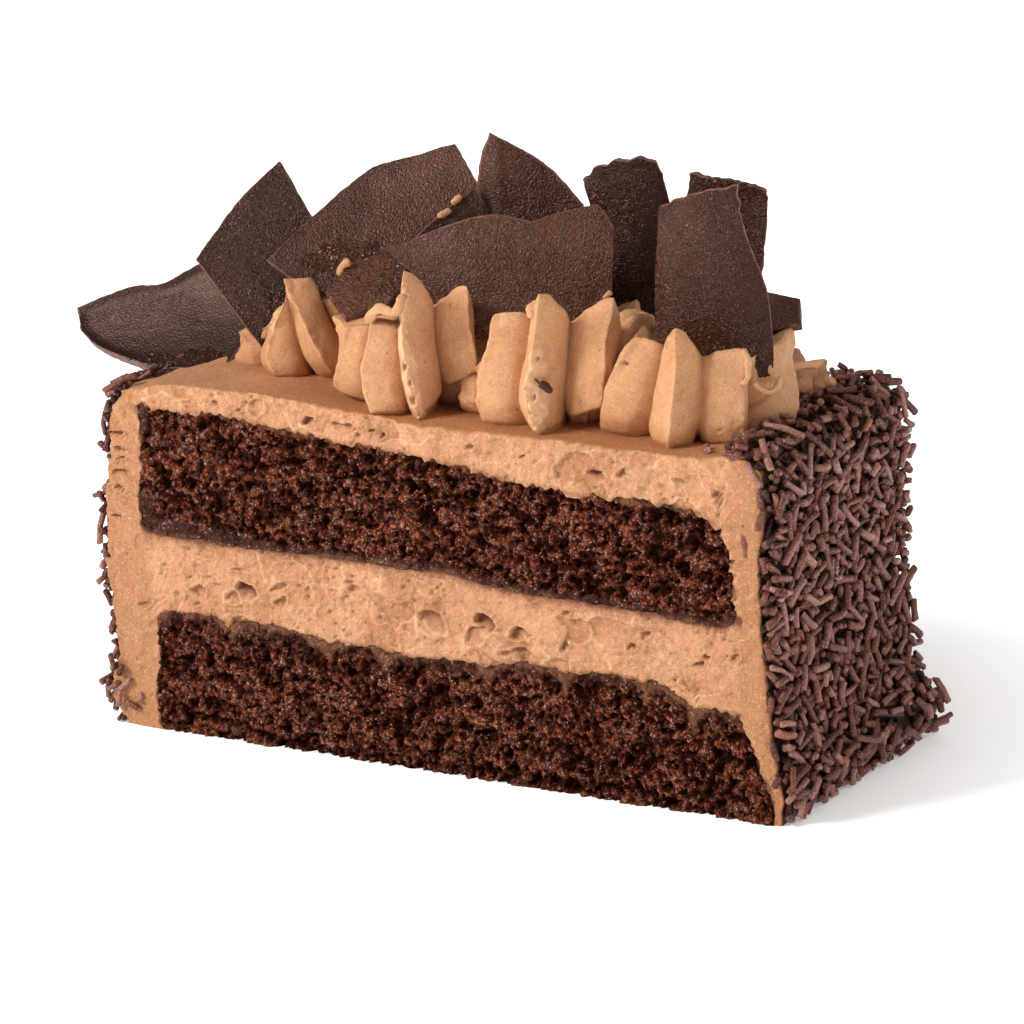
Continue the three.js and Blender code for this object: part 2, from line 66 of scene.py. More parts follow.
RIGHT_OUTER = [(0, 61), (14, 60.4), (20, 60), (30, 59.3), (42, 59.6), (51, 60.8), (55.6, 60.2), (57.4, 58)]

RIGHT, LEFT = 1, -1
# Each end: its outline, how far the coat's foot swells out of it at the front and at the back, how many
# sprinkles fall on it, how much wider than usual its bare margins get, how wide a strip of the top they cover
# at the front and at the back, how ragged that is, the level from which it counts, and the seed.
ENDS = {
    RIGHT: {"outline": RIGHT_OUTER, "foot": (0.6, 5), "count": 2100, "margin": 0.0, "strip": (3, 9.5),
            "ragged": 1.0, "level": 57.0, "seed": 11},
    LEFT: {"outline": LEFT_OUTER, "foot": (3, 1.2), "count": 1400, "margin": 1.6, "strip": (0.2, 0.2),
           "ragged": 0.5, "level": 57.5, "seed": 23},
}
FOOT_SWELL = [(0, 0.1), (3, 0.75), (6, 1), (9, 0.5), (12, 0)]  # the share of a foot's swell by height
# A low mound on the top, as centre, half widths and rise.
MOUND = {"x": -49, "y": 1, "wide": 9, "deep": 8, "rise": 1.6}

# ---------------------------------------------------------------- numbers that are the same on every run

MASK = (1 << 64) - 1
PRIMES = [np.uint64(p) for p in (0x9E3779B185EBCA87, 0xC2B2AE3D27D4EB4F, 0x165667B19E3779F9)]
STIR = np.uint64(0xD6E8FEB86659FD93)
SEED_STEP, SEED_START = 0x2545F4914F6CDD1D, 0x9E3779B9


def random_at(lattice, seed):
    """A number from 0 to 1 for each point of a whole-number lattice, given as one array for each axis."""
    start = np.uint64((seed * SEED_STEP + SEED_START) & MASK)
    value = np.full(lattice[0].shape, start, np.uint64)
    for axis, prime in zip(lattice, PRIMES):
        value = (value ^ (axis.astype(np.int64).view(np.uint64) * prime)) * STIR
        value ^= value >> np.uint64(32)
    value *= STIR
    value ^= value >> np.uint64(29)
    return (value >> np.uint64(11)).astype(float) / 2.0**53


def noise(where, size, seed, octaves=1):
    """Smooth lumps about size across, from about -1 to 1. A further octave has half the size and strength."""
    total, strength, whole = 0.0, 1.0, 0.0
    for octave in range(octaves):
        first, second, *rest = where
        axes = [(0.8 * first - 0.6 * second) / size + 11.3, (0.6 * first + 0.8 * second) / size + 5.7]
        axes += [axis / size + 3.1 for axis in rest]
        low = [np.floor(axis) for axis in axes]
        share = [axis - floor for axis, floor in zip(axes, low)]
        share = [s * s * (3 - 2 * s) for s in share]
        value = 0.0
        for corner in itertools.product((0, 1), repeat=len(axes)):
            weight = 1.0
            for s, far in zip(share, corner):
                weight = weight * (s if far else 1 - s)
            lattice = [floor + far for floor, far in zip(low, corner)]
            value = value + weight * random_at(lattice, seed + octave)
        total = total + strength * (2 * value - 1)
        whole += strength
        strength /= 2
        size /= 2
    return total / whole * 1.5


def neighbours(where, size, seed):
    """For each cell round each point: how many cells away the cell's own point is, and the cell's number."""
    axes = [axis / size for axis in where]
    low = [np.floor(axis) for axis in axes]
    for step in itertools.product((-1, 0, 1), repeat=len(axes)):
        cell = [floor + s for floor, s in zip(low, step)]
        squared = 0.0
        for k, (axis, corner) in enumerate(zip(axes, cell)):
            squared = squared + (axis - corner - 0.15 - 0.7 * random_at(cell, seed + 100 * (k + 1))) ** 2
        yield np.sqrt(squared), random_at(cell, seed)


def pits(where, size, smallest, largest, share, seed):
    """Depth of round hollows with radii from smallest to largest, in a share of the cells of that size."""
    depth = 0.0
    for distance, chance in neighbours(where, size, seed):
        radius = smallest + (largest - smallest) * (chance / share) ** 2
        inside = np.where(chance < share, radius**2 - (distance * size) ** 2, 0)
        depth = np.maximum(depth, np.sqrt(np.maximum(inside, 0)))
    return depth


def nearest_cell(where, size, seed):
    """How many cells away the nearest cell's own point and the next one's are, and the nearest's number."""
    nearest, second, number = (np.full(where[0].shape, value) for value in (9.0, 9.0, 0.0))
    for distance, chance in neighbours(where, size, seed):
        closer = distance < nearest
        second = np.where(closer, nearest, np.minimum(second, distance))
        number = np.where(closer, chance, number)
        nearest = np.minimum(nearest, distance)
    return nearest, second, number


def clumps(where, size, seed):
    """Rounded grains about size across that touch, from 0 between them to 1 on top."""
    nearest, _, _ = nearest_cell(where, size, seed)
    return np.sqrt(np.maximum(1 - (nearest / 0.75) ** 2, 0))


def eased(value, low, high):
    """0 below low, 1 above high and smooth between."""
    s = np.clip((value - low) / (high - low), 0, 1)
    return s * s * (3 - 2 * s)


def bell(value, width):
    """1 where value is 0, fading to nothing at about twice the width."""
    return np.exp(-((value / width) ** 2))


def unit(vectors):
    """Vectors of length 1, along the last axis."""
    return vectors / np.sqrt((vectors**2).sum(-1, keepdims=True))


# ---------------------------------------------------------------- curves and meshes

def hermite(s, start, end, leaving, arriving):
    """A smooth course from start to end as s goes from 0 to 1, with its slopes at both ends."""
    course = start * (1 + 2 * s) * (1 - s) ** 2 + end * s**2 * (3 - 2 * s)
    return course + leaving * s * (1 - s) ** 2 - arriving * s**2 * (1 - s)


def curve(points):
    """A smooth function through points given as (from, to), level past both ends."""
    knots, heights = np.array(sorted(points), float).T
    gaps = np.diff(knots)
    rises = np.diff(heights) / gaps
    before, after = rises[:-1], rises[1:]
    steady = before * after > 0
    slopes = np.zeros(len(knots))
    slopes[1:-1][steady] = 2 * (before * after)[steady] / (before + after)[steady]

    def at(value):
        value = np.clip(value, knots[0], knots[-1])
        i = np.clip(np.searchsorted(knots, value) - 1, 0, len(knots) - 2)
        step = knots[i + 1] - knots[i]
        s = (value - knots[i]) / step
        return hermite(s, heights[i], heights[i + 1], step * slopes[i], step * slopes[i + 1])

    return at


def add_object(name, data, axes=None, place=(0, 0, 0)):
    """An object in the scene, turned to the axes and put at the place where they are given."""
    thing = bpy.data.objects.new(name, data)
    if axes is not None:
        rows = [[*row, at] for row, at in zip(np.transpose(axes), place)]
        thing.matrix_world = Matrix(rows + [[0, 0, 0, 1]])
    bpy.context.scene.collection.objects.link(thing)
    return thing


def add_piece(name, points, triangles, finishes, which=None, smooth_below=180, **values):
    """A mesh from points in millimetres and triangles, with one number for each point in each named value."""
    mesh = bpy.data.meshes.new(name)
    mesh.vertices.add(len(points))
    mesh.vertices.foreach_set("co", (np.asarray(points, np.float32) * MM).ravel())
    mesh.loops.add(3 * len(triangles))
    mesh.loops.foreach_set("vertex_index", np.asarray(triangles, np.int32).ravel())
    mesh.polygons.add(len(triangles))
    mesh.polygons.foreach_set("loop_start", np.arange(0, 3 * len(triangles), 3, dtype=np.int32))
    if which is not None:
        mesh.polygons.foreach_set("material_index", np.asarray(which, np.int32))
    mesh.update(calc_edges=True)
    mesh.shade_smooth()
    if smooth_below < 180:
        mesh.set_sharp_from_angle(angle=math.radians(smooth_below))
    for value, numbers in values.items():
        layer = mesh.attributes.new(value, "FLOAT", "POINT")
        layer.data.foreach_set("value", np.asarray(numbers, np.float32))
    for finish in finishes:
        mesh.materials.append(finish)
    piece = add_object(name, mesh)
    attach(piece, "root")
    return piece


def grid_triangles(index, flip=False):
    """Two triangles for each cell of a grid of point numbers; cells with a negative number are left out."""
    a, b, c, d = index[:-1, :-1], index[1:, :-1], index[1:, 1:], index[:-1, 1:]
    cells = np.stack([a, b, c, d], -1).reshape(-1, 4)
    cells = cells[(cells >= 0).all(1)]
    triangles = np.concatenate([cells[:, [0, 1, 2]], cells[:, [0, 2, 3]]])
    return triangles[:, ::-1] if flip else triangles


def tube_triangles(rings, sides, flip=True):
    """Triangles of a tube of rings, with a fan at each end to a point that comes after all of its own."""
    grid = np.arange(rings * sides).reshape(rings, sides)
    grid = np.concatenate([grid, grid[:, :1]], 1)
    first, last = np.full(sides, rings * sides), np.full(sides, rings * sides + 1)
    start, end = (grid[0, 1:], grid[0, :-1]), (grid[-1, :-1], grid[-1, 1:])
    if not flip:
        start, end = start[::-1], end[::-1]
    fans = [np.stack([first, *start], -1), np.stack([last, *end], -1)]
    return np.concatenate([grid_triangles(grid, flip), *fans])


# ---------------------------------------------------------------- finishes

def paint(*screen):
    """A colour as a shader takes it, from the 0 to 255 values of a screen."""
    return (*(((c / 255 + 0.055) / 1.055) ** 2.4 if c > 10 else c / 255 / 12.92 for c in screen), 1)


# The numbers of a mix node's two value inputs and of its output.
MIX_SOCKETS = {"RGBA": (6, 7, 2), "FLOAT": (2, 3, 0)}


class Finish:
    """A procedural material, built node by node in millimetres of the object's own space."""

    def __init__(self, name):
        self.material = bpy.data.materials.new(name)
        self.material.use_nodes = True
        self.tree = self.material.node_tree
        self.shader = self.tree.nodes["Principled BSDF"]
        spot = self.add("TexCoord")["Object"]
        self.place = self.add("Mapping", {"Vector": spot, "Scale": (1000, 1000, 1000)})["Vector"]

    def feed(self, socket, value):
        if isinstance(value, bpy.types.NodeSocket):
            self.tree.links.new(value, socket)
        else:
            socket.default_value = value

    def add(self, kind, inputs=None, **settings):
        node = self.tree.nodes.new("ShaderNode" + kind)
        for key, value in settings.items():
            setattr(node, key, value)
        for key, value in (inputs or {}).items():
            self.feed(node.inputs[key], value)
        return node.outputs

    def value(self, name):
        return self.add("Attribute", attribute_name=name)["Fac"]

    def noise(self, size, detail=2.0, rough=0.5, bent=0.0):
        inputs = {"Detail": detail, "Roughness": rough, "Distortion": bent}
        return self.add("TexNoise", {"Vector": self.place, "Scale": 1 / size, **inputs})["Fac"]

    def grains(self, size):
        return self.add("TexVoronoi", {"Vector": self.place, "Scale": 1 / size})

    def channel(self, texture, name):
        """One channel of a texture's colour: a number that is random for each grain."""
        return self.add("SeparateColor", {"Color": texture["Color"]})[name]

    def ramp(self, value, *stops):
        outputs = self.add("ValToRGB", {"Fac": value})
        elements = self.tree.nodes[-1].color_ramp.elements
        for element in list(elements)[1:]:
            elements.remove(element)
        elements[0].position, elements[0].color = stops[0]
        for position, colour in stops[1:]:
            elements.new(position).color = colour
        return outputs["Color"]

    def range(self, value, low, high, to_low=0.0, to_high=1.0):
        inputs = {"Value": value, "From Min": low, "From Max": high, "To Min": to_low, "To Max": to_high}
        return self.add("MapRange", inputs)["Result"]

    def smooth_range(self, value, low, high):
        """0 at low, 1 at high and smooth between; low may be the higher number."""
        inputs = {"Value": value, "From Min": low, "From Max": high}
        return self.add("MapRange", inputs, interpolation_type="SMOOTHSTEP")["Result"]

    def sum(self, a, b, operation="ADD"):
        node = self.tree.nodes.new("ShaderNodeMath")
        node.operation = operation
        self.feed(node.inputs[0], a)
        self.feed(node.inputs[1], b)
        return node.outputs[0]

    def times(self, a, b):
        return self.sum(a, b, "MULTIPLY")

    def mix(self, share, a, b, kind="RGBA"):
        """A mix of two colours, or of two numbers where the kind is FLOAT."""
        node = self.tree.nodes.new("ShaderNodeMix")
        node.data_type = kind
        first, second, result = MIX_SOCKETS[kind]
        for number, value in ((0, share), (first, a), (second, b)):
            self.feed(node.inputs[number], value)
        return node.outputs[result]

    def bump(self, height, depth, under=None):
        """Relief of that depth in millimetres, over another relief where one is given."""
        inputs = {"Height": height, "Distance": depth * MM, "Strength": 1.0}
        if under is not None:
            inputs["Normal"] = under
        return self.add("Bump", inputs)["Normal"]

    def done(self, **inputs):
        for key, value in inputs.items():
            self.feed(self.shader.inputs[key.replace("_", " ")], value)
        return self.material


def mousse_finish(name, light, dark, pitted, tan, rough):
    """Aerated cream: grainy and bubbly, tan where smooth, with painted shade in its bubbles and hollows and
    under the sprinkles, and painted highlights on its ridges.
    """
    f = Finish(name)
    tone = f.sum(f.noise(12, 3), f.noise(1.6, 3, 0.6))
    colour = f.mix(f.range(tone, 0.75, 1.25), dark, light)
    colour = f.mix(f.value("smooth"), colour, f.mix(0.85, colour, tan))
    grain = f.range(f.noise(0.24, 3, 0.8), 0.4, 0.6)
    colour = f.mix(grain, f.mix(0.34, colour, paint(132, 74, 38)), colour)
    fleck = f.range(f.noise(0.42, 3, 0.7), 0.54, 0.7, 0.0, 0.2 + 0.6 * pitted)
    colour = f.mix(fleck, colour, paint(250, 212, 176))
    # painted highlight: lighter along ridges, crests and the rims of hollows, with a share of lighter torn
    # cream
    ridge = f.range(f.sum(f.value("ridge"), f.noise(0.6, 3, 0.7)), 0.6, 1.4, 0.0, 0.55)
    colour = f.mix(ridge, colour, paint(250, 204, 158))
    # painted shade: the bubbles are darkened in colour as well as sunk
    bubbles = f.grains(0.9)
    size = f.range(f.channel(bubbles, "Red"), 1 - pitted, 1, 0.0, 0.24)
    pit = f.range(f.sum(bubbles["Distance"], size, "SUBTRACT"), -0.1, 0.03, 1.0, 0.0)
    colour = f.mix(f.times(pit, 0.45), colour, paint(132, 68, 32))
    # painted shade: the deeper a hollow, hole or crack, the darker it is painted
    deep = f.range(f.value("hollow"), 0.2, 1.0, 0.0, 0.85)
    colour = f.mix(deep, colour, paint(112, 44, 12))
    stain = f.range(f.sum(f.value("stain"), f.noise(0.5, 3, 0.7)), 0.62, 1.45, 0.0, 0.9)
    colour = f.mix(stain, colour, paint(112, 54, 26))
    # painted shade: near black where the sprinkles cover the cream
    colour = f.mix(f.range(f.value("soiled"), 0.2, 0.8, 0.0, 0.92), colour, paint(30, 8, 3))
    relief = f.bump(f.noise(0.28, 3, 0.8), 0.2)
    relief = f.bump(f.sum(1.0, pit, "SUBTRACT"), 0.12, relief)
    roughness = f.range(f.noise(3, 2), 0.3, 0.7, rough - 0.08, rough + 0.08)
    return f.done(Base_Color=colour, Roughness=roughness, Normal=relief, Specular_IOR_Level=0.4,
                  Subsurface_Weight=0.06, Subsurface_Radius=(0.9, 0.5, 0.35), Subsurface_Scale=0.0008)


def sponge_finish():
    """Dark chocolate crumb: brown, rust and mauve grains, with painted shade that makes its pores near black
    and darkens it between grains, and small painted glints.
    """
    f = Finish("crumb")
    coarse, fine = f.grains(0.7), f.grains(0.33)
    tone, glint = f.channel(coarse, "Red"), f.channel(fine, "Green")
    skin = f.value("skin")
    # painted shade: the lower the crumb, in pores and between grains, the darker it is painted, down to near
    # black
    grain = f.range(fine["Distance"], 0.12, 0.75, 0.15, -0.26)
    grain = f.sum(f.range(coarse["Distance"], 0.12, 0.7, 0.2, -0.3), grain)
    height = f.sum(f.value("height"), f.times(grain, f.range(skin, 0, 1, 1.0, 0.55)))
    brown = f.ramp(height, (0.12, paint(30, 2, 0)), (0.36, paint(58, 18, 7)), (0.56, paint(98, 52, 37)),
                   (0.78, paint(132, 81, 63)), (1.0, paint(174, 120, 95)))
    rust = f.ramp(height, (0.12, paint(36, 3, 0)), (0.45, paint(92, 38, 20)), (0.85, paint(150, 82, 56)),
                  (1.0, paint(188, 130, 100)))
    mauve = f.ramp(height, (0.12, paint(32, 3, 0)), (0.5, paint(78, 44, 35)), (0.9, paint(134, 98, 88)),
                   (1.0, paint(182, 144, 128)))
    dense = f.ramp(height, (0.1, paint(26, 11, 8)), (0.55, paint(68, 43, 38)), (0.95, paint(112, 84, 78)))
    cream = f.mix(f.noise(0.8, 2), paint(96, 58, 42), paint(168, 116, 84))
    colour = f.mix(f.range(f.sum(tone, f.noise(1.2, 2)), 1.06, 1.2), brown, rust)
    colour = f.mix(f.range(f.sum(tone, f.noise(1.7, 2)), 0.86, 0.7), colour, mauve)
    colour = f.mix(f.times(skin, 0.85), colour, dense)
    colour = f.mix(f.value("smear"), colour, cream)
    # painted highlight: small glints painted into the colour
    painted_glint = f.times(f.range(glint, 0.87, 0.9), f.range(fine["Distance"], 0.2, 0.5, 1.0, 0.0))
    colour = f.mix(f.times(painted_glint, f.range(height, 0.3, 0.6, 0.0, 0.6)), colour, paint(226, 196, 178))
    relief = f.bump(f.range(coarse["Distance"], 0.1, 0.75, 1.0, 0.0), 0.22)
    relief = f.bump(f.range(fine["Distance"], 0.1, 0.75, 1.0, 0.0), 0.14, relief)
    relief = f.bump(f.noise(0.2, 3, 0.8), 0.08, relief)
    return f.done(Base_Color=colour, Roughness=f.range(glint, 0.8, 0.9, 0.75, 0.25), Normal=relief,
                  Specular_IOR_Level=0.22, Specular_Tint=(1.0, 0.45, 0.3, 1))


def sprinkle_finish():
    """Chocolate sprinkles, each in its own brown, with painted shade that makes them near black deep in the
    pile.
    """
    f = Finish("sprinkle")
    colour = f.ramp(f.value("tint"), (0.0, paint(70, 28, 20)), (0.45, paint(120, 66, 54)),
                    (0.9, paint(182, 130, 116)), (1.0, paint(156, 84, 60)))
    mottled = f.range(f.noise(0.36, 4, 0.8), 0.44, 0.56)
    colour = f.mix(mottled, f.mix(0.5, colour, paint(36, 6, 2)), colour)
    colour = f.mix(f.range(f.noise(0.24, 3, 0.8), 0.55, 0.66, 0.0, 0.6), colour, paint(208, 168, 156))
    # painted shade: rods low in the pile are painted near black
    colour = f.mix(f.range(f.value("outer"), 0.25, 1.0, 0.95, 0.0), colour, paint(24, 1, 0))
    relief = f.bump(f.noise(0.4, 2, 0.6), 0.3)
    return f.done(Base_Color=colour, Roughness=f.range(f.noise(0.8), 0.3, 0.7, 0.2, 0.34), Normal=relief,
                  Specular_IOR_Level=0.55, Specular_Tint=(1.0, 0.62, 0.52, 1))


def chocolate_finish():
    """Dark chocolate with painted sheen and shade by its tone value, pebbled with painted shade in the gaps,
    and glossy with lumps and drops where it is wet.
    """
    f = Finish("chocolate")
    wet, pebbled = f.value("wet"), f.value("pebbled")
    # painted sheen and shade: the tone value makes each plate lighter or darker across and up, besides its
    # own tone
    tone = f.sum(f.range(f.value("tone"), -1, 1, 0.0, 1.0), f.range(f.noise(6, 3), 0.3, 0.7, -0.09, 0.09))
    colour = f.ramp(tone, (0.0, paint(24, 7, 3)), (0.5, paint(54, 27, 19)), (1.0, paint(104, 70, 56)))
    colour = f.mix(f.times(wet, 0.25), colour, paint(84, 48, 28))
    pebbles = f.noise(0.3, 1)
    even = f.times(f.range(f.noise(7, 2), 0.3, 0.62, 0.6, 1.0), pebbled)
    # painted shade in the gaps between pebbles
    colour = f.mix(f.times(f.range(pebbles, 0.38, 0.56, 0.95, 0.0), even), colour, paint(18, 2, 0))
    relief = f.bump(f.noise(2.6, 3), 0.1)
    relief = f.bump(f.noise(0.5, 2, 0.6), 0.02, relief)
    relief = f.bump(f.times(pebbles, even), 0.42, relief)
    drops = f.grains(1.0)
    size = f.range(f.channel(drops, "Red"), 0, 1, 0.2, 0.6)
    drop = f.smooth_range(f.sum(drops["Distance"], size, "DIVIDE"), 1.0, 0.15)
    lumps = f.smooth_range(f.noise(0.95, 2, bent=0.8), 0.42, 0.62)
    relief = f.bump(f.times(f.sum(lumps, drop), wet), 0.32, relief)
    roughness = f.mix(pebbled, 0.52, f.range(f.noise(1.1, 3, 0.6), 0.3, 0.7, 0.24, 0.33), "FLOAT")
    roughness = f.mix(wet, roughness, 0.16, "FLOAT")
    return f.done(Base_Color=colour, Roughness=roughness, Normal=relief, Specular_IOR_Level=0.5,
                  Specular_Tint=(1.0, 0.62, 0.5, 1))


def broken_finish():
    """The broken edge of a plate of chocolate: redder, paler and rough."""
    f = Finish("broken_edge")
    colour = f.mix(f.range(f.noise(1.2, 3), 0.3, 0.7), paint(72, 36, 25), paint(128, 74, 54))
    return f.done(Base_Color=colour, Roughness=0.55, Normal=f.bump(f.noise(0.4, 3, 0.7), 0.1))


# ---------------------------------------------------------------- the cut faces' layers

# Where the lower sponge's top edge dips between its humps, and how high the humps stand.
HUMPS = {"dips": np.array([-57, -39.5, -20, -9, 10, 24, 38.5, 47, 58]), "rise": 1.1}
SKIN_ROWS = 38  # rows of points between the two cut faces
SKIN_INSET = 0.35  # how far behind each cut face that skin begins
ROUNDS = 16  # how often a grid is fitted in turn between its upright and its level boundaries


def humps(x):
    """How far the lower sponge's top edge is above its course there."""
    dips = HUMPS["dips"]
    i = np.clip(np.searchsorted(dips, x) - 1, 0, len(dips) - 2)
    s = np.clip((x - dips[i]) / (dips[i + 1] - dips[i]), 0, 1)
    return HUMPS["rise"] * ((4 * s * (1 - s)) ** 0.45 - 0.75)


def uneven(function, seed, coarse, fine, low=-75, high=75):
    """A boundary with a ragged course that strays from a function by coarse and by fine amounts."""
    along = np.linspace(low, high, 6000)
    where = (along, np.full_like(along, 9.1 * seed))
    course = function(along) + coarse * noise(where, 4.5, seed, 2) + fine * noise(where, 1.1, seed + 40, 2)
    return lambda value: np.interp(value, along, course)


def foot(side, z, back):
    """How far the coat's foot swells out of an end, back going from 0 at the front to 1 at the back."""
    front_swell, back_swell = ENDS[side]["foot"]
    return (front_swell + (back_swell - front_swell) * back**2) * np.interp(z, *np.array(FOOT_SWELL, float).T)


def boundaries(back):
    """The cut face's upright and level boundaries, at the front (0) or the back (1) of the slice."""
    seed = 100 + 50 * back
    left, right = curve(LEFT_OUTER), curve(RIGHT_OUTER)
    upright = [
        uneven(lambda z: left(z) - foot(LEFT, z, back), seed, 0.35, 0.3),
        uneven(curve(LEFT_INNER), seed + 1, 0.3, 0.3),
        uneven(curve(RIGHT_INNER), seed + 2, 0.35, 0.35),
        uneven(lambda z: right(z) + foot(RIGHT, z, back), seed + 3, 0.3, 0.12),
    ]
    lower = curve(LOWER_TOP)
    level = [
        lambda x: np.zeros_like(x),
        uneven(lambda x: lower(x) + humps(x), seed + 4, 0.3, 0.35),
        uneven(curve(UPPER_BOTTOM), seed + 5, 0.25, 0.12),
        uneven(curve(UPPER_TOP), seed + 6, 0.45, 0.5),
        uneven(curve(COAT_TOP), seed + 7, 0.22, 0.2),
    ]
    return upright, level


def shares(first, cells):
    """For points along a row of boxes cut into cells: each one's box and how far through that box it is."""
    boxes = [np.full(count, first + k) for k, count in enumerate(cells)]
    box = np.concatenate(boxes + [[first + len(cells) - 1]])
    share = np.concatenate([np.arange(count) / count for count in cells] + [[1.0]])
    return box, share


def face_points(back, columns, rows):
    """X and Z of a grid over some of the cut face's boxes, each way given as (first box, [cells in each])."""
    upright, level = boundaries(back)
    (column, s), (row, t) = shares(*columns), shares(*rows)
    i, j = np.arange(len(s)), np.arange(len(t))
    z = np.broadcast_to(15.0 * row + t, (len(s), len(t)))
    for _ in range(ROUNDS):
        edges = np.stack([edge(z) for edge in upright])
        low, high = edges[column, i], edges[column + 1, i]
        x = low + (high - low) * s[:, None]
        edges = np.stack([edge(x) for edge in level])
        low, high = edges[row, :, j].T, edges[row + 1, :, j].T
        z = low + (high - low) * t
    return x, z


def path_numbers(index, corners):
    """The numbers of the points along a closed path over a grid, from corner to corner."""
    numbers = []
    for (i0, j0), (i1, j1) in zip(corners, corners[1:] + corners[:1]):
        steps = max(abs(i1 - i0), abs(j1 - j0))
        numbers += [index[i0 + (i1 - i0) * s // steps, j0 + (j1 - j0) * s // steps] for s in range(steps)]
    return np.array(numbers)


def top_relief(x, y):
    """How the spread top of the coat rises and falls."""
    mound = 1 - ((x - MOUND["x"]) / MOUND["wide"]) ** 2 - ((y - MOUND["y"]) / MOUND["deep"]) ** 2
    waves = 0.3 * noise((x * 0.5, y), 7, 61, 2) + 0.06 * noise((x, y), 1.6, 62, 2)
    return MOUND["rise"] * eased(mound, 0, 1) + waves


def bare(side, y, t, shoulder):
    """Where an end has no sprinkles, t being the way up it: near the cut faces and past its strip of the top.

    shoulder is the way up at which that strip begins.
    """
    end, here = ENDS[side], (y, t)
    margin = 0.1 + 0.8 * noise(here, 3.0, end["seed"] + 3)
    margin = margin + end["margin"] * eased(noise(here, 7.0, end["seed"] + 4), -0.2, 0.5)
    front_strip, back_strip = end["strip"]
    strip = front_strip + (back_strip - front_strip) * (y / DEPTH + 0.5)
    past = t > shoulder + strip + end["ragged"] * noise(here, 3.0, end["seed"] + 5)
    return (DEPTH / 2 - np.abs(y) < margin) | past


def coat_skin(ring):
    """The values of the cream's outside: smooth, less so to the left, which paints the top lighter there, and
    painted shade under the sprinkles.
    """
    x, y, z = ring.T
    # painted shade where the sprinkles cover the cream, lighter on the top's strip
    soiled = np.zeros(len(ring))
    for side, end in ENDS.items():
        corner_z, corner_x = end["outline"][-1]
        inwards = np.where(z > corner_z - 3, np.maximum(side * (corner_x - x), 0), 0)
        free = bare(side, y, z + inwards, corner_z + 0.5) | (side * x < 40)
        soiled = np.maximum(soiled, np.where(free, 0, np.where(inwards > 1, 0.45, 1)))
    # painted light: less tan towards the left end, so the top is painted lighter there
    smooth = 1 - 0.6 * eased(-x, 20, 42)
    return {"hollow": 0.0, "smooth": smooth, "stain": 0.0, "ridge": 0.0, "soiled": soiled}


def shape_outside(ring, front, back, share, on_side, on_top):
    """Gives a ring of the outer skin the ends' swell, which grows towards the back, and the top's relief."""
    ring[on_side, 0] = (front + (back - front) * share**2)[on_side, 0]
    x, y, z = ring[on_top].T
    z = z + (curve(COAT_TOP)(x) - z) * eased(share, 0, 0.04)
    ring[on_top, 2] = z + top_relief(x, y) * eased(share, 0, 0.06)


def layer(name, columns, rows, kept, paths, relief, finish, skin, outside=False):
    """A layer cut through by both faces, with relief that is fine in front and half as fine at the back.

    kept says which of the grid's points belong to it, paths are the corners of its outlines, relief gives how
    far a face stands out and the values that its finish reads, and skin gives those between the faces.
    """
    points, triangles, numbers, values, count = [], [], [], [], 0
    for back, step in ((0, 1), (1, 2)):
        x, z = (grid[::step, ::step] for grid in face_points(back, columns, rows))
        used = kept[::step, ::step]
        out, face_values = relief(x, z, 300 * back)
        y = -FRONT + out if back else FRONT - out
        index = np.full(x.shape, -1)
        index[used] = count + np.arange(used.sum())
        count += used.sum()
        points.append(np.stack([x[used], y[used], z[used]], -1))
        values.append({key: np.broadcast_to(value, x.shape)[used] for key, value in face_values.items()})
        triangles.append(grid_triangles(index, flip=back == 1))
        numbers.append(index)
    known = np.concatenate(points)
    for corners in paths:
        fine = path_numbers(numbers[0], corners)
        front_ring, half, following = fine[::2], np.roll(fine, -1)[::2], np.roll(fine, -2)[::2]
        back_ring = path_numbers(numbers[1], [(i // 2, j // 2) for i, j in corners])
        on_side, on_top = (np.isin(front_ring, border) for border in (numbers[0][[0, -1]], numbers[0][:, -1]))
        ring_count = SKIN_ROWS if outside and corners is paths[0] else 2
        rings = []
        for share in (np.arange(ring_count) + 0.5) / ring_count:
            ring = known[front_ring] + (known[back_ring] - known[front_ring]) * share
            ring[:, 1] = FRONT + SKIN_INSET + share * (DEPTH - 2 * SKIN_INSET)
            if outside:
                shape_outside(ring, known[front_ring], known[back_ring], share, on_side, on_top)
            rings.append(count + np.arange(len(ring)))
            count += len(ring)
            points.append(ring)
            values.append({key: np.broadcast_to(value, len(ring)) for key, value in skin(ring).items()})
        first, second = rings[0], np.roll(rings[0], -1)
        bands = [(front_ring, first, half), (half, first, second), (half, second, following)]
        for near, far in zip(rings, rings[1:] + [back_ring]):
            near_next, far_next = np.roll(near, -1), np.roll(far, -1)
            bands += [(near, far, far_next), (near, far_next, near_next)]
        triangles += [np.stack(band, -1) for band in bands]
    values = {key: np.concatenate([part[key] for part in values]) for key in values[0]}
    return add_piece(name, np.concatenate(points), np.concatenate(triangles), [finish], **values)


# ---------------------------------------------------------------- sponges

SPONGE_CELLS = 476  # cells along a sponge
DEEPEST_PORE = 1.9


def crumb(x, z, seed):
    """The torn crumb of a cut sponge: touching grains with dark gaps between, and pores among them."""
    wx = x + 0.8 * noise((x, z), 1.5, seed + 1, 2)
    wz = z + 0.8 * noise((z, x), 1.5, seed + 2, 2)
    grain = clumps((wx * 0.9, wz), 1.0, seed + 6)
    out = 0.26 * noise((x * 0.8, z), 1.9, seed + 8, 2) + 0.4 * noise((x, z), 0.75, seed + 7, 2)
    out = out + 0.42 * (grain - 0.62)
    out = np.where(out < 0, 2.2 * out, out)
    depth = 1.3 * pits((wx * 0.8, wz), 2.3, 0.3, 1.0, 0.5, seed + 3)
    depth = np.maximum(depth, 1.3 * pits((wx, wz * 1.1), 1.3, 0.2, 0.5, 0.5, seed + 4))
    return out, depth


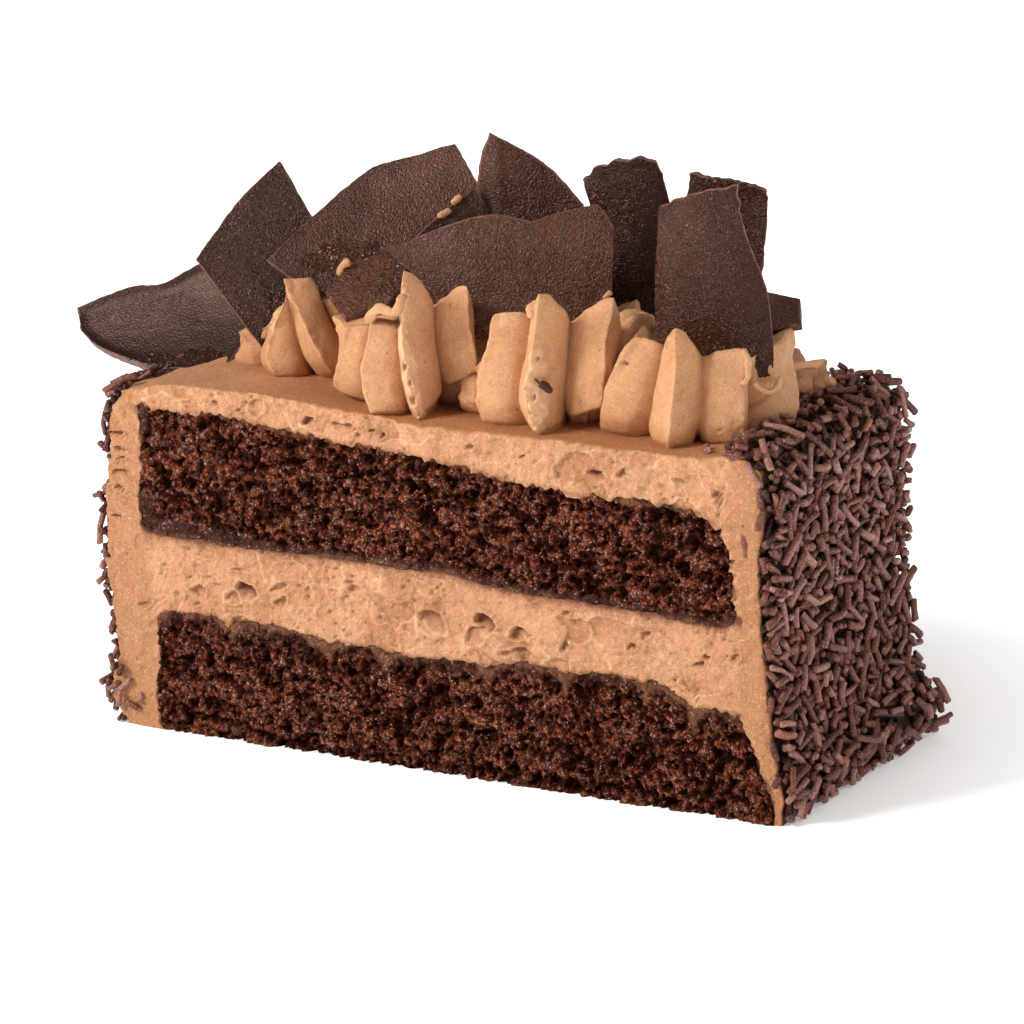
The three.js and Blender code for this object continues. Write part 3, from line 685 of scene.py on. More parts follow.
def sponge(node, row, cells_up, finish, edges):
    """One sponge. edges gives where its crumb is a close dark skin and where cream is smeared on it."""
    def relief(x, z, seed):
        out, depth = crumb(x, z, seed + 10 * row)
        skin, smear = edges(x, z)
        calm = np.maximum(0.65 * skin, 0.8 * smear)
        out = out * (1 - calm) - depth * (1 - 0.85 * np.maximum(skin, smear))
        out = np.maximum(out, -DEEPEST_PORE)
        height = np.clip(0.58 + 0.6 * out, 0, 1)
        return out, {"height": height, "skin": skin, "smear": np.clip(0.8 * smear, 0, 1)}

    def hidden(ring):
        return {"height": 0.3, "skin": 0.0, "smear": 0.0}

    kept = np.ones((SPONGE_CELLS + 1, cells_up + 1), bool)
    corners = [(0, 0), (SPONGE_CELLS, 0), (SPONGE_CELLS, cells_up), (0, cells_up)]
    columns, rows = (1, [SPONGE_CELLS]), (row, [cells_up])
    piece = layer(node + "_crumb", columns, rows, kept, [corners], relief, finish, hidden)
    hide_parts(node)
    return piece


def upper_edges(x, z):
    """The upper sponge has its skin along its underside and left end, thickest in the corner there."""
    under = z - curve(UPPER_BOTTOM)(x) - 0.4 * noise((x, z), 2.5, 71, 2)
    above = curve(UPPER_TOP)(x) - z
    left = x + 55.5 + 0.5 * noise((x, z), 2.5, 72, 2)
    thick = 1 + 1.6 * (1 - eased(x, -50, -25))
    corner = (1 - eased(left, 1, 5)) * np.maximum(1 - eased(under, 4, 8), 1 - eased(above, 2, 6))
    skin = np.maximum(1 - eased(under, 0.8 * thick, 1.7 * thick), corner)
    ragged = 0.45 * noise((x, z), 1.4, 74, 2)
    smear = np.maximum(1 - eased(under + ragged, 0, 0.6), 1 - eased(above + ragged, -0.1, 0.5))
    return skin, 0.6 * smear


def lower_edges(x, z):
    """The lower sponge is soaked under the humps of its top edge, with cream dragged down between them."""
    above = curve(LOWER_TOP)(x) + humps(x) - z + 0.6 * noise((x, z), 3, 73, 2)
    between = bell(np.abs(x[..., None] - HUMPS["dips"]).min(-1), 1.1)
    ragged = 0.5 * noise((x, z), 1.2, 75, 2)
    smear = 1 - eased(above + ragged, 0.1 + 1.2 * between, 1.1 + 3.2 * between)
    return 0.85 * (1 - eased(above, 0.8, 3.2)), 0.75 * smear


# ---------------------------------------------------------------- mousse

SCALE = 4.2  # how large a torn scale of the mousse is
# Torn hollows of the cut mousse, steep above and shallow below: x, z, half width, half height, depth, tilt.
HOLLOWS = [
    (-35.6, 26.4, 2.0, 1.5, 2.3, -12), (-38.6, 24.7, 1.8, 1.1, 1.0, 20), (-45.6, 25.0, 1.7, 0.9, 0.9, 12),
    (-28.6, 27.6, 1.6, 0.7, 0.8, 6), (-28.6, 25.4, 1.7, 0.8, 0.9, 24), (-36.2, 29.4, 1.8, 0.6, 0.6, -10),
    (10.5, 26.4, 2.0, 1.5, 2.3, -20), (8.3, 24.2, 2.1, 1.5, 0.8, 35), (16.6, 25.5, 1.8, 1.0, 1.5, 12),
    (0, 25.4, 2.6, 1.6, 1.1, -14), (16.5, 22.0, 3.6, 1.1, 0.9, -6), (25, 24.8, 0.9, 0.8, 1.1, 20),
    (29.4, 28.9, 0.4, 0.4, 0.8, 0), (39.1, 28.0, 0.6, 0.6, 1.1, 30), (36.7, 25.6, 1.0, 0.7, 1.3, 14),
    (25.4, 30.1, 0.4, 0.5, 0.8, 0), (49.4, 25.9, 0.9, 0.5, 1.3, 25), (48.4, 24.4, 1.1, 0.6, 1.2, 10),
    (54.8, 26.4, 0.8, 0.7, 0.8, 40), (-15.3, 29.8, 1.4, 0.5, 0.6, 10), (-56.2, 21.6, 1.4, 0.6, 0.7, 10),
    (-38.6, 57.8, 0.7, 0.5, 1.1, -35), (-34.2, 56.8, 0.7, 0.4, 0.9, -10), (-30.8, 57.4, 1.6, 1.2, 0.5, 20),
    (-21, 56.5, 1.6, 0.7, 1.5, 24), (-14.2, 56.2, 1.6, 0.7, 0.9, 6), (-8.7, 56.2, 0.7, 0.4, 1.2, -12),
    (-6.5, 55.4, 0.8, 0.6, 1.4, 30), (-11.6, 54.8, 0.6, 0.4, 0.7, 0), (9.6, 55, 1.0, 0.5, 0.8, -20),
    (18.6, 54.4, 0.7, 0.5, 0.9, 15), (32.2, 52.8, 2.1, 0.7, 1.9, 4), (36.6, 53.6, 1.1, 0.9, 1.2, 20),
    (46.7, 53.4, 1.2, 0.5, 1.0, -15), (53.0, 51.2, 1.1, 0.6, 1.1, -30), (-58.8, 51.0, 1.7, 0.35, 1.1, 5),
    (-58.6, 48.5, 1.6, 0.3, 1.0, -8), (-58.2, 46.4, 1.2, 0.35, 0.9, 15), (-59.4, 44.2, 1.5, 0.35, 1.1, 0),
    (-59.6, 41.3, 1.4, 0.4, 1.0, -12), (-60.2, 36.8, 1.7, 0.3, 1.0, 10),
]


def shells(x, z, seed):
    """The cut mousse's torn scales: each one's step up or down, and the thin ridges between them."""
    nearest, second, number = nearest_cell((0.62 * x + 0.2 * z, z), SCALE, seed)
    edge = SCALE * (second - nearest)
    return (number - 0.5) * eased(edge, 0, 0.5), bell(edge, 0.3)


def torn_hollows(x, z, share):
    """How deep the torn hollows are, for a share of their depths, and how far their rims stand up."""
    depth, rim = 0.0, 0.0
    for cx, cz, wide, high, deep, tilt in HOLLOWS:
        c, s = math.cos(math.radians(tilt)), math.sin(math.radians(tilt))
        u, v = ((x - cx) * c + (z - cz) * s) / wide, ((z - cz) * c - (x - cx) * s) / high
        inside = np.maximum(1 - u**2 - v**2, 0)
        depth = np.maximum(depth, deep * np.minimum(4 * inside, 1) * (0.55 + 0.45 * v) * share)
        rim = rim + 0.3 * bell(np.hypot(u, v) - 1.12, 0.18)
    return depth, np.minimum(rim, 0.35)


def sponge_stain(x, z):
    """The brown stain of the mousse next to the sponges, from 0 to 1."""
    below, above = curve(UPPER_BOTTOM)(x) - z, z - curve(UPPER_TOP)(x)
    lower = z - curve(LOWER_TOP)(x) - humps(x)
    stain = np.exp(-np.maximum(below, 0) / 0.9) * (below > -1)
    for share, height, width in ((0.5, above, 0.6), (0.6, lower, 0.5)):
        stain = np.maximum(stain, share * bell(height, width) * (height > -1))
    return stain * ((x > -56) & (x < 56))


def foam(x, z, seed):
    """The cut mousse: smeared folds, torn scales, hollows, bubbles, and a brown stain next to the sponges."""
    where = (x, z)
    wx = x + 0.6 * noise(where, 2.2, seed + 21, 2)
    wz = z + 0.45 * noise((z, x), 2.2, seed + 22, 2)
    within = np.minimum(x - curve(LEFT_OUTER)(z), curve(RIGHT_OUTER)(z) - x)
    smooth = 0.75 * np.maximum(1 - eased(x, -56, -53.5), eased(x, 54, 56.5))
    smooth = np.maximum(smooth, 1 - eased(within + 0.5 * noise(where, 2.5, seed + 30, 2), 0.5, 1.8))
    out = 0.5 * noise((x * 0.6, z), 7, seed + 23, 2)
    out = out + (0.34 - 0.15 * smooth) * noise((x * 0.8, z), 2.1, seed + 24, 3)
    out = out + (0.16 - 0.08 * smooth) * noise(where, 0.55, seed + 25, 2)
    bent = (wx + 1.2 * noise(where, 5, seed + 33), wz + 1.2 * noise((z, x), 5, seed + 34))
    step, ridge = shells(*bent, seed + 31)
    torn = eased(noise(where, 8, seed + 32, 2), -0.25, 0.35) * (1 - 0.8 * smooth)
    out = out + torn * (1.15 * step + 0.14 * ridge)
    smooth = np.maximum(smooth, 0.6 * eased(-step * torn, 0.12, 0.3))
    patchy = 0.6 + 0.4 * np.clip(1.6 * noise(where, 9, seed + 29, 2), -1, 1)
    fine = pits((wx, wz), 1.0, 0.14, 0.42, 0.36, seed + 26)
    large = pits((wx * 0.85, wz * 1.2), 3.6, 0.25, 0.75, 0.3, seed + 27)
    depth = np.maximum(1.3 * fine, 1.2 * large) * (1 - 0.7 * smooth) * patchy
    sunk, rim = torn_hollows(wx, wz, 1 if seed == 0 else 0.6)
    depth = np.maximum(depth, sunk)
    # ridge paints highlights on the scales' edges and the hollows' rims, and hollow paints shade in the pits
    # and hollows
    ridge = np.clip(0.7 * torn * ridge + 1.5 * rim, 0, 1)
    values = {"hollow": np.clip(depth / 1.3, 0, 1), "smooth": smooth, "stain": sponge_stain(x, z),
              "ridge": ridge, "soiled": 0.0}
    return out + rim - depth, values


# The grid's cells: left of, over and right of the sponges, and up the lower one, filling, upper one and top.
MOUSSE_COLUMNS, MOUSSE_ROWS = [30, 420, 18], [74, 54, 68, 24]


def mousse(finish):
    """Filling and coat in one, being one cream: the sponges fill its hole and the notch in its underside."""
    a, b, wide = np.cumsum(MOUSSE_COLUMNS).tolist()
    c, d, e, tall = np.cumsum(MOUSSE_ROWS).tolist()
    kept = np.ones((wide + 1, tall + 1), bool)
    kept[a + 1:b, :c] = False
    kept[a + 1:b, d + 1:e] = False
    outline = [(0, 0), (a, 0), (a, c), (b, c), (b, 0), (wide, 0), (wide, tall), (0, tall)]
    hole = [(a, d), (a, e), (b, e), (b, d)]
    columns, rows = (0, MOUSSE_COLUMNS), (0, MOUSSE_ROWS)
    piece = layer("mousse", columns, rows, kept, [outline, hole], foam, finish, coat_skin, outside=True)
    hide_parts("filling", "coat")
    return piece


# ---------------------------------------------------------------- plates of chocolate

PLATE_THICKNESS = 1.2
# Each plate: a point on its front face, how far it turns from the front and leans back, the line it is bent
# round and the bend's radius (negative when hollow in front), and its outline as (across, up) from the point.
PLATES = {
    "plate_square": ((-42.4, -4.2, 77), 22, 22, 60, 70, [
        (-10, 0), (1.5, -15), (8, -11), (14.5, -2.5), (9, 7.5), (4, 16), (-3, 9.5)]),
    "plate_left": ((-62.5, -2, 62.5), 0, 45, 10, -38, [
        (-20.3, 2.5), (-18, -1.5), (-14, -4), (-7.5, -6), (-0.5, -7.3), (8, -7.5), (15, -6.5), (16, 2),
        (14, 13), (9.5, 13.5), (2, 12.4), (-0.5, 11), (-4, 8.6), (-11, 7.2)]),
    "plate_slab": ((-21.4, 1.8, 82.8), 18, 32, 28, 60, [
        (-18.5, -6.2), (-12.5, -10.2), (-6, -13), (2, -14), (12, -11), (15.5, -4), (16.7, 5.5), (11.5, 13.6),
        (-2, 10.2), (-9, 3.8)]),
    "plate_front": ((7, -7, 80.4), 18, 14, 95, 70, [
        (-19.5, 2), (-11.7, -4.5), (-8, -9.5), (-2, -12.5), (9, -13), (14.5, -10.5), (17.6, -4.5),
        (17.7, 5.7), (15.4, 9), (9.5, 7.7), (4.8, 6.4), (-1.6, 7.5), (-10, 5.4)]),
    "plate_sail": ((3.7, 6, 89.7), 28, 12, 80, -40, [
        (-4.7, 8.6), (-6.3, 3.5), (-7.2, -8.5), (-5, -18), (3, -21), (8, -16), (9.5, -3.5), (3.8, 3)]),
    "plate_flat": ((-18.2, -8, 75.1), 10, 62, 90, 40, [
        (-6.7, -1.4), (-0.7, -7.9), (5, -4.2), (7, 1), (5, 7), (-1, 7.5), (-4.7, 5.6)]),
    "plate_chip": ((-5.3, 0, 86.7), 30, 30, 30, 60, [
        (-8, -6), (-6, -13), (0, -15), (4, -9), (4.6, 0.5), (3.2, 3.2), (-2.4, -0.7)]),
    "plate_tall": ((45.2, -7.8, 80.8), 14, 8, 84, 17, [
        (-10, 10.8), (-10.4, 2.5), (-10.2, -9.5), (-6, -14.5), (3, -16), (9.6, -15.4), (8.4, -2.4), (5, 7.3),
        (4, 14), (-1.5, 13.2)]),
    "plate_curl": ((20.3, 8, 81.4), 12, 6, 84, 12, [
        (-8.3, 9.4), (-6.1, 5.3), (-5, -6), (-3.5, -15), (4, -15.5), (7, -12), (8, 4), (6, 12.5), (3.7, 13.1),
        (-2.9, 12)]),
    "plate_back": ((38.4, 12, 83), 24, 6, 80, 30, [
        (-6.9, 9.5), (-8.5, -1), (-7.5, -12), (-3, -18), (3, -17), (3.6, -9), (4.8, -1.4), (5.4, 6.4),
        (-2, 8.6)]),
    "plate_end": ((50.5, 4, 73.1), 20, 55, 10, 12, [
        (-6, 1.7), (-4.5, -3), (-2, -4), (3.3, -2.6), (2.6, 2.4), (-3.4, 4.9)]),
}
TORN_ABOVE = {"plate_tall": 9.5, "plate_curl": 8.5, "plate_back": 5.5}  # above this an outline is toothed
# How much thicker a plate is along its edge, and how far in that reaches.
RIMS = {"plate_left": (0.5, 1.0), "plate_back": (0.7, 1.5), "plate_end": (0.5, 1.5), "plate_curl": (0.3, 1.2)}
USUAL_RIM = (0.12, 0.8)
# How light a plate's face is painted, from -1 to 1, which paints its sheen and shade as well as its own
# tone: in its middle, and how much that grows in 10 mm across and in 10 mm up. The last number is how pebbled
# it is.
PAINTED_SHEEN_AND_TONES = {
    "plate_square": (-0.85, -0.1, -0.1, 1.0), "plate_left": (-1.0, 0.15, -0.2, 0.4),
    "plate_slab": (0.05, 0.12, 0.15, 0.7), "plate_front": (0.4, 0.16, 0.1, 0.95),
    "plate_sail": (0.15, -0.3, 0.1, 0.9), "plate_flat": (0.85, 0.0, -0.1, 0.5),
    "plate_chip": (-0.5, 0, 0, 0.6), "plate_tall": (-0.15, -0.35, 0.1, 1.0),
    "plate_curl": (-0.7, -0.5, 0.1, 1.0), "plate_back": (-0.15, 0, 0.1, 1.0), "plate_end": (1.0, 0, 0, 0.7),
}
# A plate whose left edge is folded back: from where on, and how tightly.
FOLDS = {"plate_sail": (-3.4, 0.3)}
# Wet stretches with drops, as centre and half widths across and up.
WET = {"plate_tall": [(-2, -9, 7, 3.4), (-9.5, -3, 1.2, 9), (2, -12, 7, 3)], "plate_flat": [(-1, 0, 11, 9)],
       "plate_left": [(0, -6, 6, 1.4), (9, -5, 5, 2)], "plate_slab": [(-5, -6, 8, 3.5)],
       "plate_front": [(2, -10.5, 16, 2.2)], "plate_back": [(-2, 8, 6, 1.5)], "plate_square": [(4, -9, 3, 4)],
       "plate_curl": [(-5, 6, 1.8, 5)]}
SHARP_CORNER = 24  # a turn of the outline above this many degrees is a corner, below it a curve


class PlateSpace:
    """A plate's own axes: across, up and out of its front, with its bend."""

    def __init__(self, at, turn, lean, axis, radius, outline):
        turn, lean, self.angle = math.radians(turn), math.radians(lean), math.radians(axis)
        self.at, self.radius = np.array(at, float), radius
        self.outline = np.array(outline, float)
        self.across = np.array([math.cos(turn), math.sin(turn), 0])
        level = math.cos(lean)
        self.out = np.array([math.sin(turn) * level, -math.cos(turn) * level, math.sin(lean)])
        self.up = np.cross(self.out, self.across)

    def bent(self, x, y, level):
        """Where points of the flat plate end up, level being how far in front of the front face they are."""
        c, s = math.cos(self.angle), math.sin(self.angle)
        along, off = x * c + y * s, -x * s + y * c
        side = (self.radius + level) * np.sin(off / self.radius)
        deep = (self.radius + level) * np.cos(off / self.radius) - self.radius
        parts = zip((along * c - side * s, along * s + side * c, deep), (self.across, self.up, self.out))
        return self.at + sum(part[..., None] * axis for part, axis in parts)

    def local(self, points):
        """Across, up and how far in front of the bent front face points are."""
        away = points - self.at
        x, y, z = (away @ axis for axis in (self.across, self.up, self.out))
        off = -x * math.sin(self.angle) + y * math.cos(self.angle)
        return x, y, z - self.radius * (np.cos(np.clip(off / self.radius, -1.5, 1.5)) - 1)


def broken_outline(corners, step, torn_above, seed):
    """An outline of even steps: straight or gently curved breaks between sharp corners, a little jagged."""
    count = len(corners)
    ahead = np.roll(corners, -1, 0) - corners
    heading = np.arctan2(ahead[:, 1], ahead[:, 0])
    turn = np.degrees(np.abs((heading - np.roll(heading, 1) + np.pi) % (2 * np.pi) - np.pi))
    tangent = (np.roll(corners, -1, 0) - np.roll(corners, 1, 0)) / 2
    points = []
    for i in range(count):
        a, b = corners[i], corners[(i + 1) % count]
        length = np.hypot(*(b - a))
        whole = max(int(round(length / step)), 2)
        s = (np.arange(whole) / whole)[:, None]
        ta, tb = (tangent[k] / np.hypot(*tangent[k]) * length if turn[k] < SHARP_CORNER else b - a
                  for k in (i, (i + 1) % count))
        points.append(hermite(s, a, b, ta, tb))
    points = np.concatenate(points)
    ahead = np.roll(points, -1, 0) - np.roll(points, 1, 0)
    normal = np.stack([ahead[:, 1], -ahead[:, 0]], -1) / np.maximum(np.hypot(*ahead.T), 1e-6)[:, None]
    where = (points[:, 0], points[:, 1])
    toothed = points[:, 1] > torn_above + 0.4 * noise(where, 3, seed + 2)
    teeth = np.where(toothed, 0.34, 0.05) * noise(where, np.where(toothed, 1.3, 0.9), seed + 1, 2)
    stray = 0.1 * noise(where, 4, seed, 2) + teeth
    return points + normal * stray[:, None]


PLATE_STEP = 0.55
# A plate's broken rim from front to back, ring by ring: how deep as a share of the thickness, and how far in.
RIM = [(0, 0.26), (0.1, 0.05), (0.3, 0), (0.6, 0), (0.88, 0), (1, 0.14)]


def plate_rings(outline, middle, seed):
    """A flat plate's rings of points, out over its front and in over its back, their levels and how many."""
    spokes = outline - middle
    lengths = np.hypot(*spokes.T)
    rings = max(int(lengths.max() / PLATE_STEP), 8)
    face = [middle + spokes * ((k + 1) / (rings + 1)) * (1 - 0.1 / lengths.max()) for k in range(rings)]
    rim = []
    for deep, inset in RIM:
        rough = 0.08 * noise((outline[:, 0], outline[:, 1] + 9 * deep), 1.1, seed + 5, 2) * (0 < deep < 1)
        rim.append(outline - spokes / lengths[:, None] * (inset + rough[:, None]))
    depths = [0] * rings + [deep for deep, _ in RIM] + [1] * rings
    return np.concatenate(face + rim + face[::-1]), -PLATE_THICKNESS * np.repeat(depths, len(outline)), rings


def plate_relief(name, flat, level, outline, seed):
    """A flat plate's levels with its thicker rim, its fold and the unevenness of its faces."""
    where = (flat[:, 0], flat[:, 1])
    in_front, behind = level > -0.1, level < 0.1 - PLATE_THICKNESS
    rise, width = RIMS.get(name, USUAL_RIM)
    inside = np.array([np.hypot(*(outline - point).T).min() for point in flat])
    level = level + np.where(level > -0.5 * PLATE_THICKNESS, rise, -rise * 0.5) * bell(inside, width)
    level = level + 0.1 * noise(where, 9, seed + 8)
    fold, tightness = FOLDS.get(name, (-FAR, 0))
    level = level - tightness * np.maximum(fold - flat[:, 0], 0) ** 2
    level = np.where(in_front, level + 0.02 * noise(where, 1.6, seed + 9), level)
    return np.where(behind, level - 0.05 * noise(where, 2.2, seed + 10, 2), level)


def wetness(name, x, y, seed):
    """How wet a plate is at points across and up, from 0 to 1."""
    wet = np.zeros(len(x))
    for cx, cy, wide, high in WET.get(name, []):
        away = np.hypot((x - cx) / wide, (y - cy) / high) + 0.35 * noise((x, y), 2.5, seed + 11, 2)
        wet = np.maximum(wet, 1 - eased(away, 0.6, 1.05))
    return wet


def plate(name, finish, broken, seed):
    """One plate: front, rough broken rim and back, closed by a point in the middle of each face."""
    space = PlateSpace(*PLATES[name])
    outline = broken_outline(space.outline, PLATE_STEP, TORN_ABOVE.get(name, FAR), seed)
    middle, count = outline.mean(0), len(outline)
    flat, level, rings = plate_rings(outline, middle, seed)
    points = space.bent(*flat.T, plate_relief(name, flat, level, outline, seed))
    ends = space.bent(*np.stack([middle, middle], -1), np.array([0, -PLATE_THICKNESS]))
    triangles = tube_triangles(len(flat) // count, count, flip=False)
    ring = triangles.min(1) // count
    on_rim = (ring >= rings) & (ring < rings + len(RIM) - 1) & (triangles.max(1) < len(flat))
    x, y = np.concatenate([flat, [middle, middle]]).T
    wet = wetness(name, x, y, seed)
    which = on_rim & (wet[triangles].min(1) <= 0.4)
    # tone: painted sheen and shade across the plate, besides its own tone
    middle_sheen_and_tone, by_x, by_y, pebbled = PAINTED_SHEEN_AND_TONES[name]
    tone = middle_sheen_and_tone + 0.1 * (by_x * x + by_y * y)
    piece = add_piece(name + "_chocolate", np.concatenate([points, ends]), triangles, [finish, broken], which,
                      smooth_below=40, tone=tone, wet=wet, pebbled=pebbled * (1 - 0.5 * wet))
    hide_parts(name)
    return piece


# ---------------------------------------------------------------- piped swirls

# Each swirl: centre, radius and height above the coat, and its crests going round. A crest is its angle at
# the foot, a third of the way up, two thirds and at the tip, how tall it stands as a share of the height and,
# where that isn't usual, how far above the coat its foot hangs and how far on to the next the valley lies.
SWIRLS = {
    "swirl_1": (-34, 0, 13, 15.2, [
        (-150, -148, -145, -142, 0.4), (-83, -93, -87, -75, 0.84, 0, 0.6),
        (-43, -55, -66, -76, 1.06, 0, 0.66), (2, -12, -24, -32, 0.92), (40, 32, 24, 16, 0.88),
        (84, 78, 70, 62, 0.88), (128, 122, 114, 106, 0.8), (174, 168, 160, 155, 0.6)]),
    "swirl_2": (-8, -8.5, 13.8, 22.8, [
        (-150, -142, -126, -114, 0.62, 2, 0.66), (-94, -98, -97, -89, 0.72, 0, 0.78),
        (-61, -66, -67.5, -64, 1.03, 0, 0.64), (-9, -17, -20, -22, 0.87, 6, 0.4), (-15, 2, 16, 26, 0.8),
        (48, 54, 60, 64, 0.78), (112, 112, 110, 110, 0.78), (160, 158, 156, 156, 0.72),
        (194, 196, 200, 204, 0.6)]),
    "swirl_3": (17.7, -7.3, 14.2, 20.2, [
        (-129, -129, -118, -104, 0.93, 0, 0.66), (-76, -82.5, -77, -71.5, 1.1, 0, 0.51),
        (-40, -36, -30, -22, 1.0, 3.5, 0.5), (4, 8, 12, 16, 0.8), (52, 54, 57, 60, 0.78),
        (97, 99, 102, 105, 0.8), (142, 144, 147, 150, 0.75), (190, 196, 203, 210, 0.42)]),
    "swirl_4": (40, -5, 15.6, 16.2, [
        (-143, -131, -117, -95, 1.04, 0, 0.56), (-79, -75, -72, -70.5, 1.14, 0, 0.38),
        (-36, -35, -32, -30, 0.9, 0, 0.24), (-4, 8, 20, 28, 0.88), (42, 48, 55, 62, 0.78),
        (86, 94, 101, 108, 0.78), (130, 138, 146, 154, 0.84), (172, 183, 194, 205, 0.95)]),
    "swirl_5": (42.5, 12, 9.8, 7, [
        (-80, -70, -60, -50, 1.0), (-35, -25, -15, -5, 0.8), (10, 20, 30, 40, 0.75), (55, 65, 75, 85, 0.8),
        (100, 110, 120, 130, 0.9), (145, 155, 165, 175, 1.0), (190, 200, 210, 220, 1.0),
        (235, 245, 255, 265, 1.0)]),
}
USUAL_CREST = (0, 0.5)
# How far out a crest stands at each share of its height: narrow at the foot, with a belly, a waist and a rim.
SWIRL_PROFILE = [(0, 0.84), (0.05, 0.93), (0.12, 1.0), (0.27, 1.03), (0.48, 1.0), (0.7, 0.95), (0.9, 0.97),
                 (1, 0.96)]
SUNK = 1.2  # how deep a swirl's foot is in the coat
FLUTE_COLUMNS, SIDE_ROWS, TOP_ROWS = 34, 66, 10
SEAM_SOFTNESS = 0.45  # how rounded a swirl's surface is where it runs into a seam
OVERLAP = 0.12  # how far neighbours reach past the seam between them
THINNEST = 0.3  # the least radius of a swirl
PUSH_GAP = 0.3  # how far behind a plate's front face the cream that it has pushed aside stays
HALVINGS = 12  # steps of the search for where that is
USUAL_TURN = 45  # degrees from one crest to the next
# How much deeper or shallower than usual a valley is, by swirl and the number of the crest before it.
VALLEYS = {"swirl_1": {1: 0.9, 2: 1.2}, "swirl_2": {0: 1.3, 1: 1.1, 2: 1.7}, "swirl_3": {0: 1.15, 1: 1.7},
           "swirl_4": {0: 0.95}}
# Where neighbours meet: both swirls, a point, which way the seam faces from above, and how far it leans back.
SEAMS = [("swirl_1", "swirl_2", -21, -4, -18, 0), ("swirl_2", "swirl_3", 4.9, -8, 3, 2),
         ("swirl_3", "swirl_4", 27.2, -6, 6, 20), ("swirl_4", "swirl_5", 41.5, 6.5, 90, 0)]
# Where a plate has pushed a swirl's cream aside: plate, swirl, and the plate's bare stretch across and up.
PUSHES = [("plate_tall", "swirl_4", 7.0, 11, -15.2, 8), ("plate_square", "swirl_1", -12, 1, -15, 8)]
# Where a swirl's cream is torn and bubbly: angle and height at both ends of the tear, and its half width.
TEARS = {
    "swirl_1": [(-84, 13, -90, 7, 0.7)],
    "swirl_2": [(-70, 13.5, -61, 0.5, 1.6), (-64, 21, -68, 14, 0.6)],
    "swirl_3": [(-76, 12, -77, 1.5, 1.7)],
}
# Holes and cracks in the swirls: angle and height at both ends, half width and depth.
CRACKS = {
    "swirl_1": [(-34.3, 9.1, -34, 8.8, 0.5, 1.3)],
    "swirl_2": [(-67.2, 8.4, -67, 8, 0.5, 1.2), (-64.6, 5.8, -64.4, 5.5, 0.45, 1.1),
                (-63.4, 3.1, -63.2, 2.4, 0.5, 1.2), (-43.8, 13.2, -43.6, 13.2, 0.3, 0.6),
                (-88, 15.1, -71, 14.9, 0.4, 1.4)],
    "swirl_3": [(-75.5, 12, -75.3, 12, 0.35, 0.9), (-77.7, 6.2, -77.5, 5.8, 0.4, 0.9),
                (-80.5, 3.6, -80.2, 3.6, 0.35, 0.8), (-99.1, 15.3, -98.8, 15, 0.4, 0.5)],
    "swirl_4": [(-108.4, 12.3, -108, 12.2, 0.45, 1.2), (-68.8, 9, -68.6, 9, 0.3, 0.5),
                (-50.8, 5.8, -49, 5.6, 0.35, 0.6), (-47.8, 2.3, -47, 2.3, 0.35, 0.5)],
}


def away_from(line, radius, angle, above):
    """How far points of a swirl are from a line on it, which the angle and height of both its ends give."""
    turn_a, high_a, turn_b, high_b = line
    u, v = radius * (angle - math.radians(turn_a)), above - high_a
    run, rise = radius * math.radians(turn_b - turn_a), high_b - high_a
    s = np.clip((u * run + v * rise) / (run**2 + rise**2), 0, 1)
    return np.hypot(u - s * run, v - s * rise), (u, v)


def seam_limit(name, x, y, z, cos, sin):
    """How far from its axis a swirl may reach in each direction before it meets its neighbours."""
    limit = np.full(z.shape, float(FAR))
    for first, second, sx, sy, turn, lean in SEAMS:
        if name not in (first, second):
            continue
        turn, lean = math.radians(turn), math.radians(lean)
        normal = np.array([math.cos(lean) * math.cos(turn), math.cos(lean) * math.sin(turn), -math.sin(lean)])
        normal *= 1 if name == first else -1
        axis = (x - sx) * normal[0] + (y - sy) * normal[1] + (z - curve(COAT_TOP)(sx)) * normal[2]
        towards = cos * normal[0] + sin * normal[1]
        here = np.where(towards > 0.02, (OVERLAP - axis) / np.maximum(towards, 0.02), FAR)
        limit = np.minimum(limit, np.maximum(here, 0.6))
    return limit


def risen(levels, t):
    """Values that are given at the foot, a third of the way up, two thirds and the tip, smooth between."""
    slopes = np.gradient(levels, axis=1)
    i = np.minimum((3 * t).astype(int), 2)
    s = (3 * t - i)[:, None]
    return hermite(s, levels[:, i].T, levels[:, i + 1].T, slopes[:, i].T, slopes[:, i + 1].T)


def tear_weight(name, radius, angle, above):
    """How torn a swirl's surface is, from 0 to 1, at an angle in radians and a height above the coat."""
    weight = np.zeros(angle.shape)
    for *line, half in TEARS.get(name, []):
        away, where = away_from(line, radius, angle, above)
        away = away + 0.5 * noise(where, 1.6, 31, 2)
        weight = np.maximum(weight, 1 - eased(away, 0.45 * half, half))
    return weight


def crack_depth(name, radius, angle, above):
    """How deep the holes and cracks of a swirl are at an angle in radians and a height above the coat."""
    depth = np.zeros(angle.shape)
    for *line, half, deep in CRACKS.get(name, []):
        away, where = away_from(line, radius, angle, above)
        away = away + 0.3 * half * noise(where, 0.8, 32)
        depth = np.maximum(depth, 0.65 * deep * np.sqrt(np.maximum(1 - (away / half) ** 2, 0)))
    return depth


